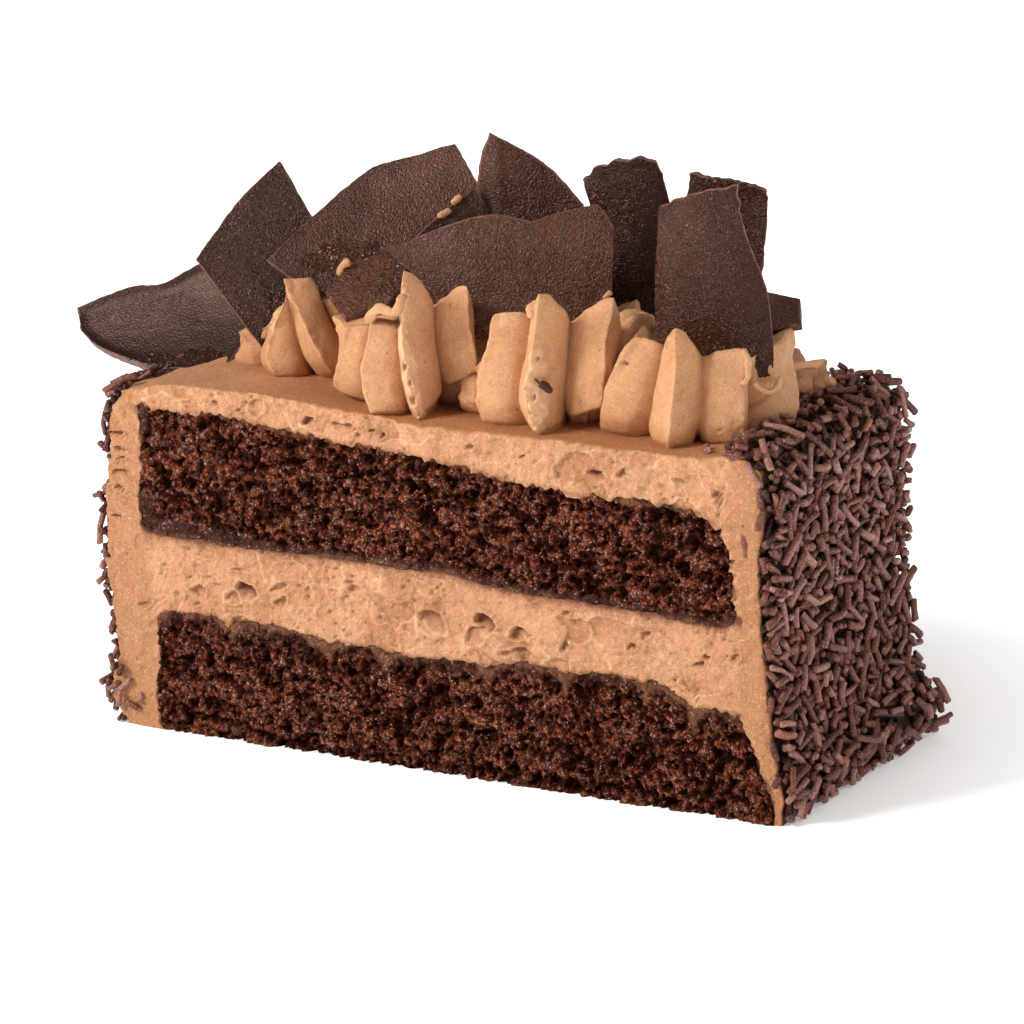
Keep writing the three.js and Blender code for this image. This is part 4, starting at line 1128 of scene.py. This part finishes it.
def pushed_in(name, x, y, z, r, angle, seed):
    """A swirl's radius and height where plates push its cream aside, which leaves their corners bare."""
    cos, sin = np.cos(angle), np.sin(angle)
    for plate_name, swirl_name, start, stop, low, high in PUSHES:
        if swirl_name != name:
            continue
        space = PlateSpace(*PLATES[plate_name])
        edge = 0.3 * noise((z, angle * 9), 2.0, seed + 5)

        def place(share):
            return space.local(np.stack([x + r * share * cos, y + r * share * sin, z], -1))

        across, up, out = place(1.0)
        pushed = eased(across - edge, start - 0.7, start) * eased(stop + edge - across, -0.7, 0)
        pushed = pushed * eased(up, low - 0.7, low) * eased(high - up, -0.7, 0) * (out > -PUSH_GAP)
        low_share, high_share = np.zeros(r.shape), np.ones(r.shape)
        for _ in range(HALVINGS):
            half = (low_share + high_share) / 2
            inside = place(half)[2] > -PUSH_GAP
            high_share = np.where(inside, half, high_share)
            low_share = np.where(inside, low_share, half)
        z = z - 4 * pushed * (1 - eased(low_share, 0, 0.3))
        r = r * (1 - pushed * (1 - low_share))
    return r, z


# Small pieces of torn cream as strands: their points, the radius in the middle and how flat they are.
STRANDS = [
    ([(-8.1, -22.2, 73.4), (-6.9, -22.5, 75), (-5.2, -22.3, 75.7), (-3.7, -22, 75.1), (-2.4, -21.5, 76.6)],
     0.75, 0.4),
    ([(-2.6, -21.6, 76.9), (-2.2, -21.3, 77.7)], 0.6, 0.9),
    ([(20.9, -19.3, 77.6), (20.4, -19.4, 76.8), (20.3, -19.4, 75.8)], 0.9, 0.7),
    ([(27.6, -2.6, 64.0), (27.6, -2.8, 68), (28.2, -2.4, 71.2)], 3.5, 0.7),
    ([(28.8, 0.2, 68.6), (28.9, 0, 71.4)], 1.1, 0.9),
    ([(26.6, -8.4, 76.4), (27.3, -8.2, 77.2)], 0.6, 0.8),
    ([(-24.5, -5.7, 76.0), (-23.8, -5.4, 77.3), (-23.0, -5.3, 77.9)], 0.7, 0.8),
    ([(-7.0, -2.0, 85.6), (-5.8, -1.0, 86.4)], 0.55, 0.6),
    ([(-5.6, 0.1, 87.5), (-4.7, 0.6, 88.5)], 0.5, 0.6),
    ([(-43.5, -4.2, 59.5), (-43.2, -4.6, 62.3)], 2.5, 0.85),
    ([(53.0, -13.0, 71.2), (53.4, -12.6, 69.6), (53.3, -12.7, 67.6), (52.8, -13.3, 66.4)], 0.5, 0.8),
    ([(53.7, -11.4, 66.0), (54.4, -10.5, 64.7), (55.0, -9.1, 64.2), (55.4, -7.6, 64.7), (55.5, -6.9, 65.8)],
     0.45, 0.8),
    ([(51.2, 8.9, 57.5), (51.4, 8.8, 60.4)], 2.2, 0.9),
    ([(4.2, -12.4, 59.0), (5.4, -12.6, 61.4)], 3.5, 0.9),
    ([(53.6, 9.6, 57.6), (54.4, 9.8, 60.8)], 1.8, 0.8),
]
# Bits of chocolate stuck in the cream, as strands too.
CRUMBS = [([(22.0, -21.1, 65.5), (22.6, -20.8, 65.1), (23.2, -20.5, 64.5)], 0.6, 0.5),
          ([(21.1, -21.3, 66.4), (21.6, -21.2, 65.9), (22.1, -21.1, 65.6)], 0.17, 1.0)]
FLATTENED = (0.55, -0.83, 0.1)  # the direction in which strands are flat, roughly towards the camera


def tube(path, radius, flat, seed, rings=24, sides=14):
    """A strand with blunt round ends and a lumpy skin, as points and triangles."""
    path = np.array(path, float)
    along = np.linspace(0, len(path) - 1, rings)
    knots = np.arange(len(path))
    centre = np.stack([curve(list(zip(knots, path[:, k])))(along) for k in range(3)], -1)
    ahead = unit(np.gradient(centre, axis=0))
    side = unit(np.cross(ahead, FLATTENED))
    out = np.cross(side, ahead)
    q = np.linspace(-1, 1, rings)
    wide = radius * np.maximum(1 - q**6, 0.02) ** 0.5
    centre = centre + ahead * (np.sign(q) * np.maximum(np.abs(q) - 0.7, 0) * radius * 2)[:, None]
    phi = np.linspace(0, 2 * np.pi, sides, endpoint=False)
    ring = side[:, None] * np.cos(phi)[None, :, None] + flat * out[:, None] * np.sin(phi)[None, :, None]
    points = centre[:, None] + ring * wide[:, None, None]
    lumps = 1 + 0.5 * noise(tuple(np.moveaxis(points, -1, 0)), 1.4 * radius**0.5, seed, 3)
    points = (centre[:, None] + ring * (wide[:, None] * lumps)[..., None]).reshape(-1, 3)
    return np.concatenate([points, centre[[0, -1]]]), tube_triangles(rings, sides)


def strands(name, every, finish):
    """Small pieces such as the torn bits of cream between the swirls and plates, all of them as one piece."""
    points, triangles, count = [], [], 0
    for number, (path, radius, flat) in enumerate(every):
        own, faces = tube(path, radius, flat, 900 + number)
        points.append(own)
        triangles.append(faces + count)
        count += len(own)
    points = np.concatenate(points)
    # hollow paints shade in the bubbles, and ridge a faint painted highlight
    bubbles = pits(tuple(points.T), 1.4, 0.12, 0.4, 0.4, 930)
    piece = add_piece(name, points, np.concatenate(triangles), [finish], hollow=bubbles,
                      ridge=np.full(len(points), 0.15))
    return piece


def swirl_sides(name, coat, radius, height, crests):
    """A swirl's sides: share of the height, angle, radius, height, and how near each point is to a crest."""
    following = np.roll(crests, -1, 0)
    following[-1, :4] += 360
    flute = np.repeat(np.arange(len(crests)), FLUTE_COLUMNS)
    even = np.arange(FLUTE_COLUMNS) / FLUTE_COLUMNS
    s = np.tile(even - 0.1 * np.sin(2 * np.pi * even), len(crests))
    q = np.linspace(0, 1, SIDE_ROWS)
    t = 0.45 * q + 0.55 * (0.5 - 0.5 * np.cos(np.pi * q))
    here, there = (risen(angles, t)[:, flute] for angles in (crests[:, :4], following[:, :4]))
    angle = np.radians(here * (1 - s) + there * s)
    wide = np.minimum((there - here) / USUAL_TURN, 1.2)
    t, here, there = t[:, None], crests[flute].T, following[flute].T
    low_point = here[6]
    into = np.where(s < low_point, s / low_point, (1 - s) / (1 - low_point))
    # The top sags between the crests, or stays level up to a valley that lies far on.
    level = np.where(s < low_point, eased(low_point, 0.64, 0.66), 0)
    towards = s * (1 - level * (1 - into**5))
    sag = 0.26 * np.minimum((there - here)[3] / USUAL_TURN, 1)
    top = (here[4] * (1 - towards) + there[4] * towards) * (1 - sag * into**(1.6 + 5 * level))
    z = coat - SUNK + (height + SUNK) * t * top
    crease = 0.1 + 0.14 * (1 - eased(t, 0.05, 0.4)) + 0.06 * eased(t, 0.7, 1)
    deep = np.array([VALLEYS.get(name, {}).get(k, 1.0) for k in range(len(crests))])[flute]
    slope = (0.14 * into + 0.06 * into**2) * deep
    valley = (slope + crease * into**9) * wide * (1.35 - 0.35 * eased(t, 0, 0.25))
    r = radius * curve(SWIRL_PROFILE)(t) * (1 - valley)
    lift = here[5] * (1 - s) ** 1.5 + there[5] * s**1.5
    r = r * (1 - 0.34 * np.minimum(lift / 3, 1) * (1 - eased(z - coat, 0.6 * lift, lift + 0.7)))
    return t, angle, r, z, bell(into, 0.11) * np.ones_like(t)


def swirl_cap(rim, middle):
    """Rows of points from a swirl's rim in to the middle of its sunken top."""
    rows = []
    for share in np.linspace(0, 1, TOP_ROWS + 1)[1:-1] ** 1.8:
        row = middle + (rim - middle) * (1 - share)
        row[:, 2] = rim[:, 2] + (middle[2] - rim[:, 2]) * eased(share, 0.0, 0.45)
        rows.append(row[None])
    return rows


def swirl(name, finish, seed):
    """One swirl of a star nozzle: sharp crests with full flanks and tight valleys that curl as they rise."""
    x, y, radius, height, crests = SWIRLS[name]
    crests = np.array([(*crest, *USUAL_CREST)[:7] for crest in crests], float)
    coat = float(curve(COAT_TOP)(x))
    t, angle, r, z, crest = swirl_sides(name, coat, radius, height, crests)
    cos, sin = np.cos(angle), np.sin(angle)
    where = (x + r * cos, y + r * sin, z)
    r = r + 0.4 * noise(where, 6, seed, 2) + 0.12 * noise(where, 2, seed + 1, 2)
    r = r + 0.03 * noise(where, 0.6, seed + 2)
    r = r + crest * (0.22 + 0.2 * noise(where, 1.3, seed + 3, 2) + 0.35 * eased(t, 0.85, 1))
    torn = tear_weight(name, radius, angle, z - coat)
    holes = pits(where, 1.5, 0.15, 0.55, 0.5, seed + 8)
    cracks = crack_depth(name, radius, angle, z - coat)
    r = r + torn * (0.25 + 0.6 * noise(where, 0.8, seed + 9, 3) - 1.3 * holes)
    r = r - 0.3 * eased(t, 0.97, 1.0) - cracks
    z = z + 0.3 * t**6 * noise(where, 1.5, seed + 6, 2)
    limit = seam_limit(name, x, y, z, cos, sin)
    r = np.maximum(-SEAM_SOFTNESS * np.logaddexp(-r / SEAM_SOFTNESS, -limit / SEAM_SOFTNESS), THINNEST)
    r, z = pushed_in(name, x, y, z, r, angle, seed)
    sides = np.stack([x + r * cos, y + r * sin, z], -1)
    base = coat - SUNK
    middle = np.array([x, y, base + (height + SUNK) * crests[:, 4].mean() * 0.78])
    points = np.concatenate([sides, *swirl_cap(sides[-1], middle)])
    triangles = tube_triangles(*points.shape[:2])
    points = np.concatenate([points.reshape(-1, 3), [[x, y, base], middle]])

    def spread(numbers):
        """Numbers for the points of the sides, and nothing for all the others."""
        return np.pad(numbers.ravel(), (0, len(points) - numbers.size))

    # hollow paints shade in bubbles, holes and cracks; ridge paints a highlight on the crests and lightens
    # torn cream
    bubbles = pits(tuple(points.T), 2.6, 0.15, 0.32, 0.22, seed + 7) / 1.2
    deepest = spread(np.maximum(torn * eased(holes, 0.2, 0.8), cracks * 1.2))
    piece = add_piece(name + "_piped", points, triangles, [finish], hollow=np.maximum(bubbles, deepest),
                      ridge=spread(torn + 0.3 * crest))
    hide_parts(name)
    return piece


# ---------------------------------------------------------------- sprinkles

ROD = {"thinnest": 0.46, "thickest": 0.66, "shortest": 0.9, "longest": 6.6, "sides": 8, "rings": 5}
PILE = {"highest": 2.2, "tries": 12, "cell": 0.3}
STRAY_RADIUS = 0.52
PROFILE_STEP = 0.1
# Sprinkles that lie apart: middle, direction and length.
STRAYS = {
    RIGHT: [
        ((49.7, -19.8, 57.7), (0.55, -0.8, 0.0), 2.9), ((54.7, -21.6, 57.7), (1, 0.1, 0.0), 1.7),
        ((57.3, -23.2, 45.0), (-0.08, 0.02, 1), 5.2), ((59.2, -23.0, 55.4), (0.5, 0, -0.8), 4.2),
        ((60.2, -23.1, 51.8), (-0.1, 0.1, 1), 3.0), ((56.6, -22.2, 57.7), (0.9, 0.4, 0), 3.2),
        ((52.6, -14.0, 57.8), (0.3, 0.9, 0), 3.6), ((60.2, -23.5, 48.6), (0.3, 0.05, 0.95), 3.2),
        ((60.5, -23.4, 41.6), (-0.2, 0, 1), 2.4), ((60.3, -23.4, 36.4), (0.4, 0, 0.9), 2.2),
        ((60.6, -23.3, 28.2), (-0.3, 0, 1), 2.8), ((60.6, -23.4, 19.6), (0.2, 0, 1), 2.6),
        ((60.8, -23.4, 12.4), (-0.3, 0, 1), 3.0), ((61.0, -23.3, 7.4), (0.5, 0, 0.9), 2.2)],
    LEFT: [
        ((-66.4, -22.4, 5.6), (0.1, 0, 1), 3.4), ((-64.6, -23.4, 6.4), (0.8, -0.1, 0.5), 3.2),
        ((-63.2, -23.7, 4.6), (0.2, 0, 1), 2.8), ((-61.8, -23.6, 7.2), (0.7, 0, 0.6), 3.4),
        ((-60.6, -23.6, 3.6), (0.9, 0, -0.3), 2.4), ((-62.6, -23.5, 9.6), (0.5, 0, 0.8), 2.2),
        ((-64.4, -23.2, 10.8), (-0.3, 0, 1), 2.6), ((-58.9, -23.5, 5.2), (0.6, 0, 0.8), 1.6),
        ((-57.2, -22.4, 60.0), (0.8, 0.3, 0.3), 4.6), ((-59.6, -22.4, 58.6), (0.9, 0.2, 0.5), 3.6)],
}


def end_profile(side):
    """An end's outline from the base up and then inwards over the top: x and z at even steps of length."""
    outline = ENDS[side]["outline"]
    corner_z, corner_x = outline[-1]
    z_up = np.linspace(0, corner_z, 300)
    x_in = np.linspace(corner_x, corner_x - side * 14, 100)[1:]
    x = np.concatenate([curve(outline)(z_up), x_in])
    z = np.concatenate([z_up, curve(COAT_TOP)(x_in)])
    length = np.concatenate([[0], np.cumsum(np.hypot(np.diff(x), np.diff(z)))])
    even = np.arange(0, length[-1], PROFILE_STEP)
    return np.stack([np.interp(even, length, x), np.interp(even, length, z)])


def laid_on_end(side, profile, y, t, turn, slope, height):
    """The middle and direction of a rod that lies at y and t of an end, a height above its surface."""
    k = int(np.clip(t / PROFILE_STEP, 2, profile.shape[1] - 3))
    x, z = profile[:, k - 2:k + 3]
    x = x + side * foot(side, z, y / DEPTH + 0.5)
    tangent = unit(np.array([x[-1] - x[0], 0, z[-1] - z[0]]))
    out = side * np.array([tangent[2], 0, -tangent[0]])
    along = np.cos(turn) * np.array([0, 1, 0]) + np.sin(turn) * tangent + slope * out
    return np.array([x[2], y, z[2]]) + out * height, unit(along)


def pile_of_rods(side):
    """Rods that fall one after another on an end and its strip of the top, each to rest on what is there."""
    end = ENDS[side]
    rng = np.random.default_rng(end["seed"])
    profile = end_profile(side)
    reach = profile.shape[1] * PROFILE_STEP
    cell, tries = PILE["cell"], PILE["tries"]
    field = np.zeros((int(DEPTH / cell) + 2, int(reach / cell) + 2))
    shoulder = np.argmax(profile[1] > end["level"]) * PROFILE_STEP
    rods = []

    def cells(y, t, turn, s, wide):
        """The field's cells under points of a rod, s along it from its middle and wide across it."""
        across = y + np.cos(turn) * s - np.sin(turn) * wide
        up = t + np.sin(turn) * s + np.cos(turn) * wide
        places = zip(((across + DEPTH / 2) / cell, up / cell), field.shape)
        return tuple(np.clip(place.astype(int), 0, size - 1) for place, size in places)

    for number in range(end["count"]):
        length = ROD["shortest"] + (ROD["longest"] - ROD["shortest"]) * rng.random() ** 1.7
        radius = rng.uniform(ROD["thinnest"], ROD["thickest"])
        y = rng.uniform(-DEPTH / 2 + 0.4, DEPTH / 2 - 0.4, tries)
        t = rng.uniform(0.7, reach - 1, tries)
        turn = rng.uniform(0, np.pi, tries)
        free = ~bare(side, y, t, shoulder)
        if not free.any():
            continue
        overhang = np.abs(y) + np.abs(np.cos(turn)) * length / 2 - (DEPTH / 2 + 0.4)
        y = y - np.sign(y) * np.maximum(overhang, 0)
        s = np.linspace(-0.5, 0.5, 13) * length
        wide = np.array([-0.7, 0, 0.7])[:, None] * radius
        under = field[cells(*(value[:, None, None] for value in (y, t, turn)), s, wide)].max(1)
        half = len(s) // 2
        a, b = under[:, :half].argmax(1), under[:, half + 1:].argmax(1) + half + 1
        pick = np.arange(tries)
        slope = np.clip((under[pick, b] - under[pick, a]) / (s[b] - s[a]), -0.25, 0.25)
        level = (under - slope[:, None] * s).max(1)
        level[~free] = FAR
        best = int(level.argmin())
        if level[best] > PILE["highest"]:
            continue
        y, t, turn, slope, level = (value[best] for value in (y, t, turn, slope, level))
        wild = number > 0.6 * end["count"] and rng.random() < 0.07
        if wild:
            slope = rng.uniform(0.5, 1.3) * rng.choice([-1, 1])
        height = level + radius * rng.uniform(0.1, 0.7)
        if not wild:
            s = np.arange(-length / 2, length / 2, 0.25)[:, None]
            wide = np.linspace(-0.95, 0.95, 7)[None] * radius
            round_top = np.sqrt(radius**2 - wide**2)
            np.maximum.at(field, cells(y, t, turn, s, wide), height + slope * s + round_top)
        centre, along = laid_on_end(side, profile, y, t, turn, slope, height)
        centre[2] = max(centre[2], abs(along[2]) * length / 2 + radius + 0.05)
        rods.append((centre, along, length, radius, np.clip((height - 0.3) / 1.3, 0, 1)))
    return rods


def loose_rods(places):
    """Rods that lie apart, in the same form as those of a pile."""
    return [(np.array(middle), unit(np.array(along)), length, STRAY_RADIUS, 1.0)
            for middle, along, length in places]


def sprinkles(name, side, finish, seed):
    """An end's sprinkles as one piece: bent a little, lumpy, with blunt broken ends."""
    rng = np.random.default_rng(seed)
    rods = pile_of_rods(side) + loose_rods(STRAYS[side])
    count, sides, rings = len(rods), ROD["sides"], ROD["rings"]
    centre, along, length, radius, outer = (np.array(column) for column in zip(*rods))
    helper = np.where(np.abs(along[:, 2:]) < 0.9, [[0, 0, 1.0]], [[1.0, 0, 0]])
    u = unit(np.cross(along, helper))
    v = np.cross(along, u)
    chamfer = 0.12 / length
    share = np.stack([0 * length, chamfer, 0.5 + 0 * length, 1 - chamfer, 1 + 0 * length], 1)
    wide = np.array([0.74, 1, 1, 1, 0.74]) * rng.uniform(0.88, 1.1, (count, rings))
    bend = rng.normal(0, 0.04, (count, 2)) * length[:, None]
    arc = 4 * share * (1 - share) - 0.6
    middle = centre[:, None] + along[:, None] * ((share - 0.5) * length[:, None])[..., None]
    middle = middle + (bend[:, :1, None] * u[:, None] + bend[:, 1:, None] * v[:, None]) * arc[..., None]
    phi = 2 * np.pi * np.arange(sides) / sides + rng.uniform(0, 6, (count, 1))
    cos, sin = (function(phi)[:, None, :, None] for function in (np.cos, np.sin))
    ring = u[:, None, None] * cos + v[:, None, None] * sin
    lumps = rng.uniform(0.89, 1.08, (count, rings, sides))
    points = middle[:, :, None] + ring * (radius[:, None, None] * wide[..., None] * lumps)[..., None]
    # Both ends are cut a little aslant.
    cut = rng.normal(0, 0.25, (count, 2, 1)) * np.cos(phi[:, None] + rng.uniform(0, 6, (count, 2, 1)))
    cut = cut * radius[:, None, None]
    for end, k in ((0, slice(0, 2)), (1, slice(3, 5))):
        points[:, k] += along[:, None, None] * cut[:, end, None, :, None]
    ends = np.stack([points[:, 0].mean(1), points[:, -1].mean(1)], 1)
    points = np.concatenate([points.reshape(count, -1, 3), ends], 1)
    points[..., 2] = np.maximum(points[..., 2], 0.02)
    each = points.shape[1]
    triangles = (tube_triangles(rings, sides) + each * np.arange(count)[:, None, None]).reshape(-1, 3)
    # outer, how high a rod lies in the pile, sets the painted shade of the lower rods
    piece = add_piece(name, points.reshape(-1, 3), triangles, [finish], smooth_below=62,
                      tint=np.repeat(rng.beta(2, 2, count), each), outer=np.repeat(outer, each))
    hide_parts("coat")
    return piece


# ---------------------------------------------------------------- camera, floor and light

CAMERA = {"yaw": 32.7, "pitch": 16.6, "roll": -3.65, "away": 656, "right": -0.8, "up": 35.3, "focal_px": 4000}
PICTURE = 1024  # pixels along each side of the picture
FLOOR_REACH = 8.0  # metres


def camera_axes():
    """Directions to the right, up and back from what the camera sees."""
    yaw, pitch, roll = (math.radians(CAMERA[key]) for key in ("yaw", "pitch", "roll"))
    back = np.array([math.sin(yaw) * math.cos(pitch), -math.cos(yaw) * math.cos(pitch), math.sin(pitch)])
    level = np.array([math.cos(yaw), math.sin(yaw), 0])
    upright = np.cross(back, level)
    right = math.cos(roll) * level + math.sin(roll) * upright
    up = -math.sin(roll) * level + math.cos(roll) * upright
    return right, up, back


def add_camera():
    right, up, back = camera_axes()
    data = bpy.data.cameras.new("camera")
    data.sensor_width = 36
    data.lens = data.sensor_width * CAMERA["focal_px"] / PICTURE
    data.clip_start, data.clip_end = 0.01, 20
    place = (back * CAMERA["away"] + right * CAMERA["right"] + up * CAMERA["up"]) * MM
    bpy.context.scene.camera = add_object("camera", data, (right, up, back), place)


def add_floor():
    """A plain pale floor that glows, more so away from the slice, to fade into the studio's white."""
    f = Finish("pale_floor")
    colour = f.mix(f.noise(400, 2), paint(250, 250, 250), paint(253, 253, 253))
    away = f.add("VectorMath", {0: f.place}, operation="LENGTH")["Value"]
    # painted light: the floor glows more away from the slice, which lightens the slice's shadow on it
    glow = f.range(away, 62, 125, 0.28, 0.95)
    material = f.done(Base_Color=colour, Roughness=0.9, Specular_IOR_Level=0.1, Emission_Color=(1, 1, 1, 1),
                      Emission_Strength=glow)
    mesh = bpy.data.meshes.new("floor")
    corners = [(x * FLOOR_REACH, y * FLOOR_REACH, 0) for x, y in ((-1, -1), (1, -1), (1, 1), (-1, 1))]
    mesh.from_pydata(corners, [], [(0, 1, 2, 3)])
    mesh.materials.append(material)
    add_object("floor", mesh)


# Soft boxes: place and aim in metres, size, power in watts and colour.
LIGHTS = {
    "key": ((-0.76, -0.82, 0.84), (0, 0, 0.04), 0.42, 19.2, (1.0, 0.97, 0.93)),
    "fill": ((0.95, -0.2, 0.85), (0, 0, 0.04), 0.25, 3.3, (1.0, 0.98, 0.96)),
    "sky": ((0.1, 0.7, 0.9), (0, 0, 0.04), 0.9, 1.6, (1.0, 0.99, 0.98)),
}


def add_lights():
    """The soft boxes, and the faint even light of the studio's walls."""
    for name, (place, aim, size, power, colour) in LIGHTS.items():
        data = bpy.data.lights.new(name, "AREA")
        data.size, data.energy, data.color = size, power, colour
        back = unit(np.array(place, float) - aim)
        side = unit(np.cross((0, 0, 1), back))
        add_object(name, data, (side, np.cross(back, side), back), place)
    world = bpy.data.worlds.new("studio")
    world.use_nodes = True
    background = world.node_tree.nodes["Background"]
    background.inputs["Color"].default_value = (1.0, 0.995, 0.99, 1)
    background.inputs["Strength"].default_value = 0.18
    bpy.context.scene.world = world


# ---------------------------------------------------------------- the slice

bpy.context.scene.view_settings.view_transform = "Standard"
add_camera()
add_floor()
add_lights()

cream = mousse_finish("mousse_cut", paint(226, 168, 124), paint(196, 136, 93), 0.45, paint(180, 120, 74),
                      rough=0.56)
piped = mousse_finish("mousse_piped", paint(230, 173, 125), paint(212, 152, 104), 0.15, paint(202, 143, 96),
                      rough=0.42)
dark_crumb = sponge_finish()
rod_finish = sprinkle_finish()
broken = broken_finish()
chocolate = chocolate_finish()

mousse(cream)
sponge("sponge_lower", 0, 84, dark_crumb, lower_edges)
sponge("sponge_upper", 2, 80, dark_crumb, upper_edges)
sprinkles("sprinkles_right", RIGHT, rod_finish, 5)
sprinkles("sprinkles_left", LEFT, rod_finish, 6)
for number, name in enumerate(SWIRLS):
    swirl(name, piped, 400 + 20 * number)
strands("cream_strands", STRANDS, piped)
strands("chocolate_crumbs", CRUMBS, chocolate)
for number, name in enumerate(PLATES):
    plate(name, chocolate, broken, 600 + 20 * number)
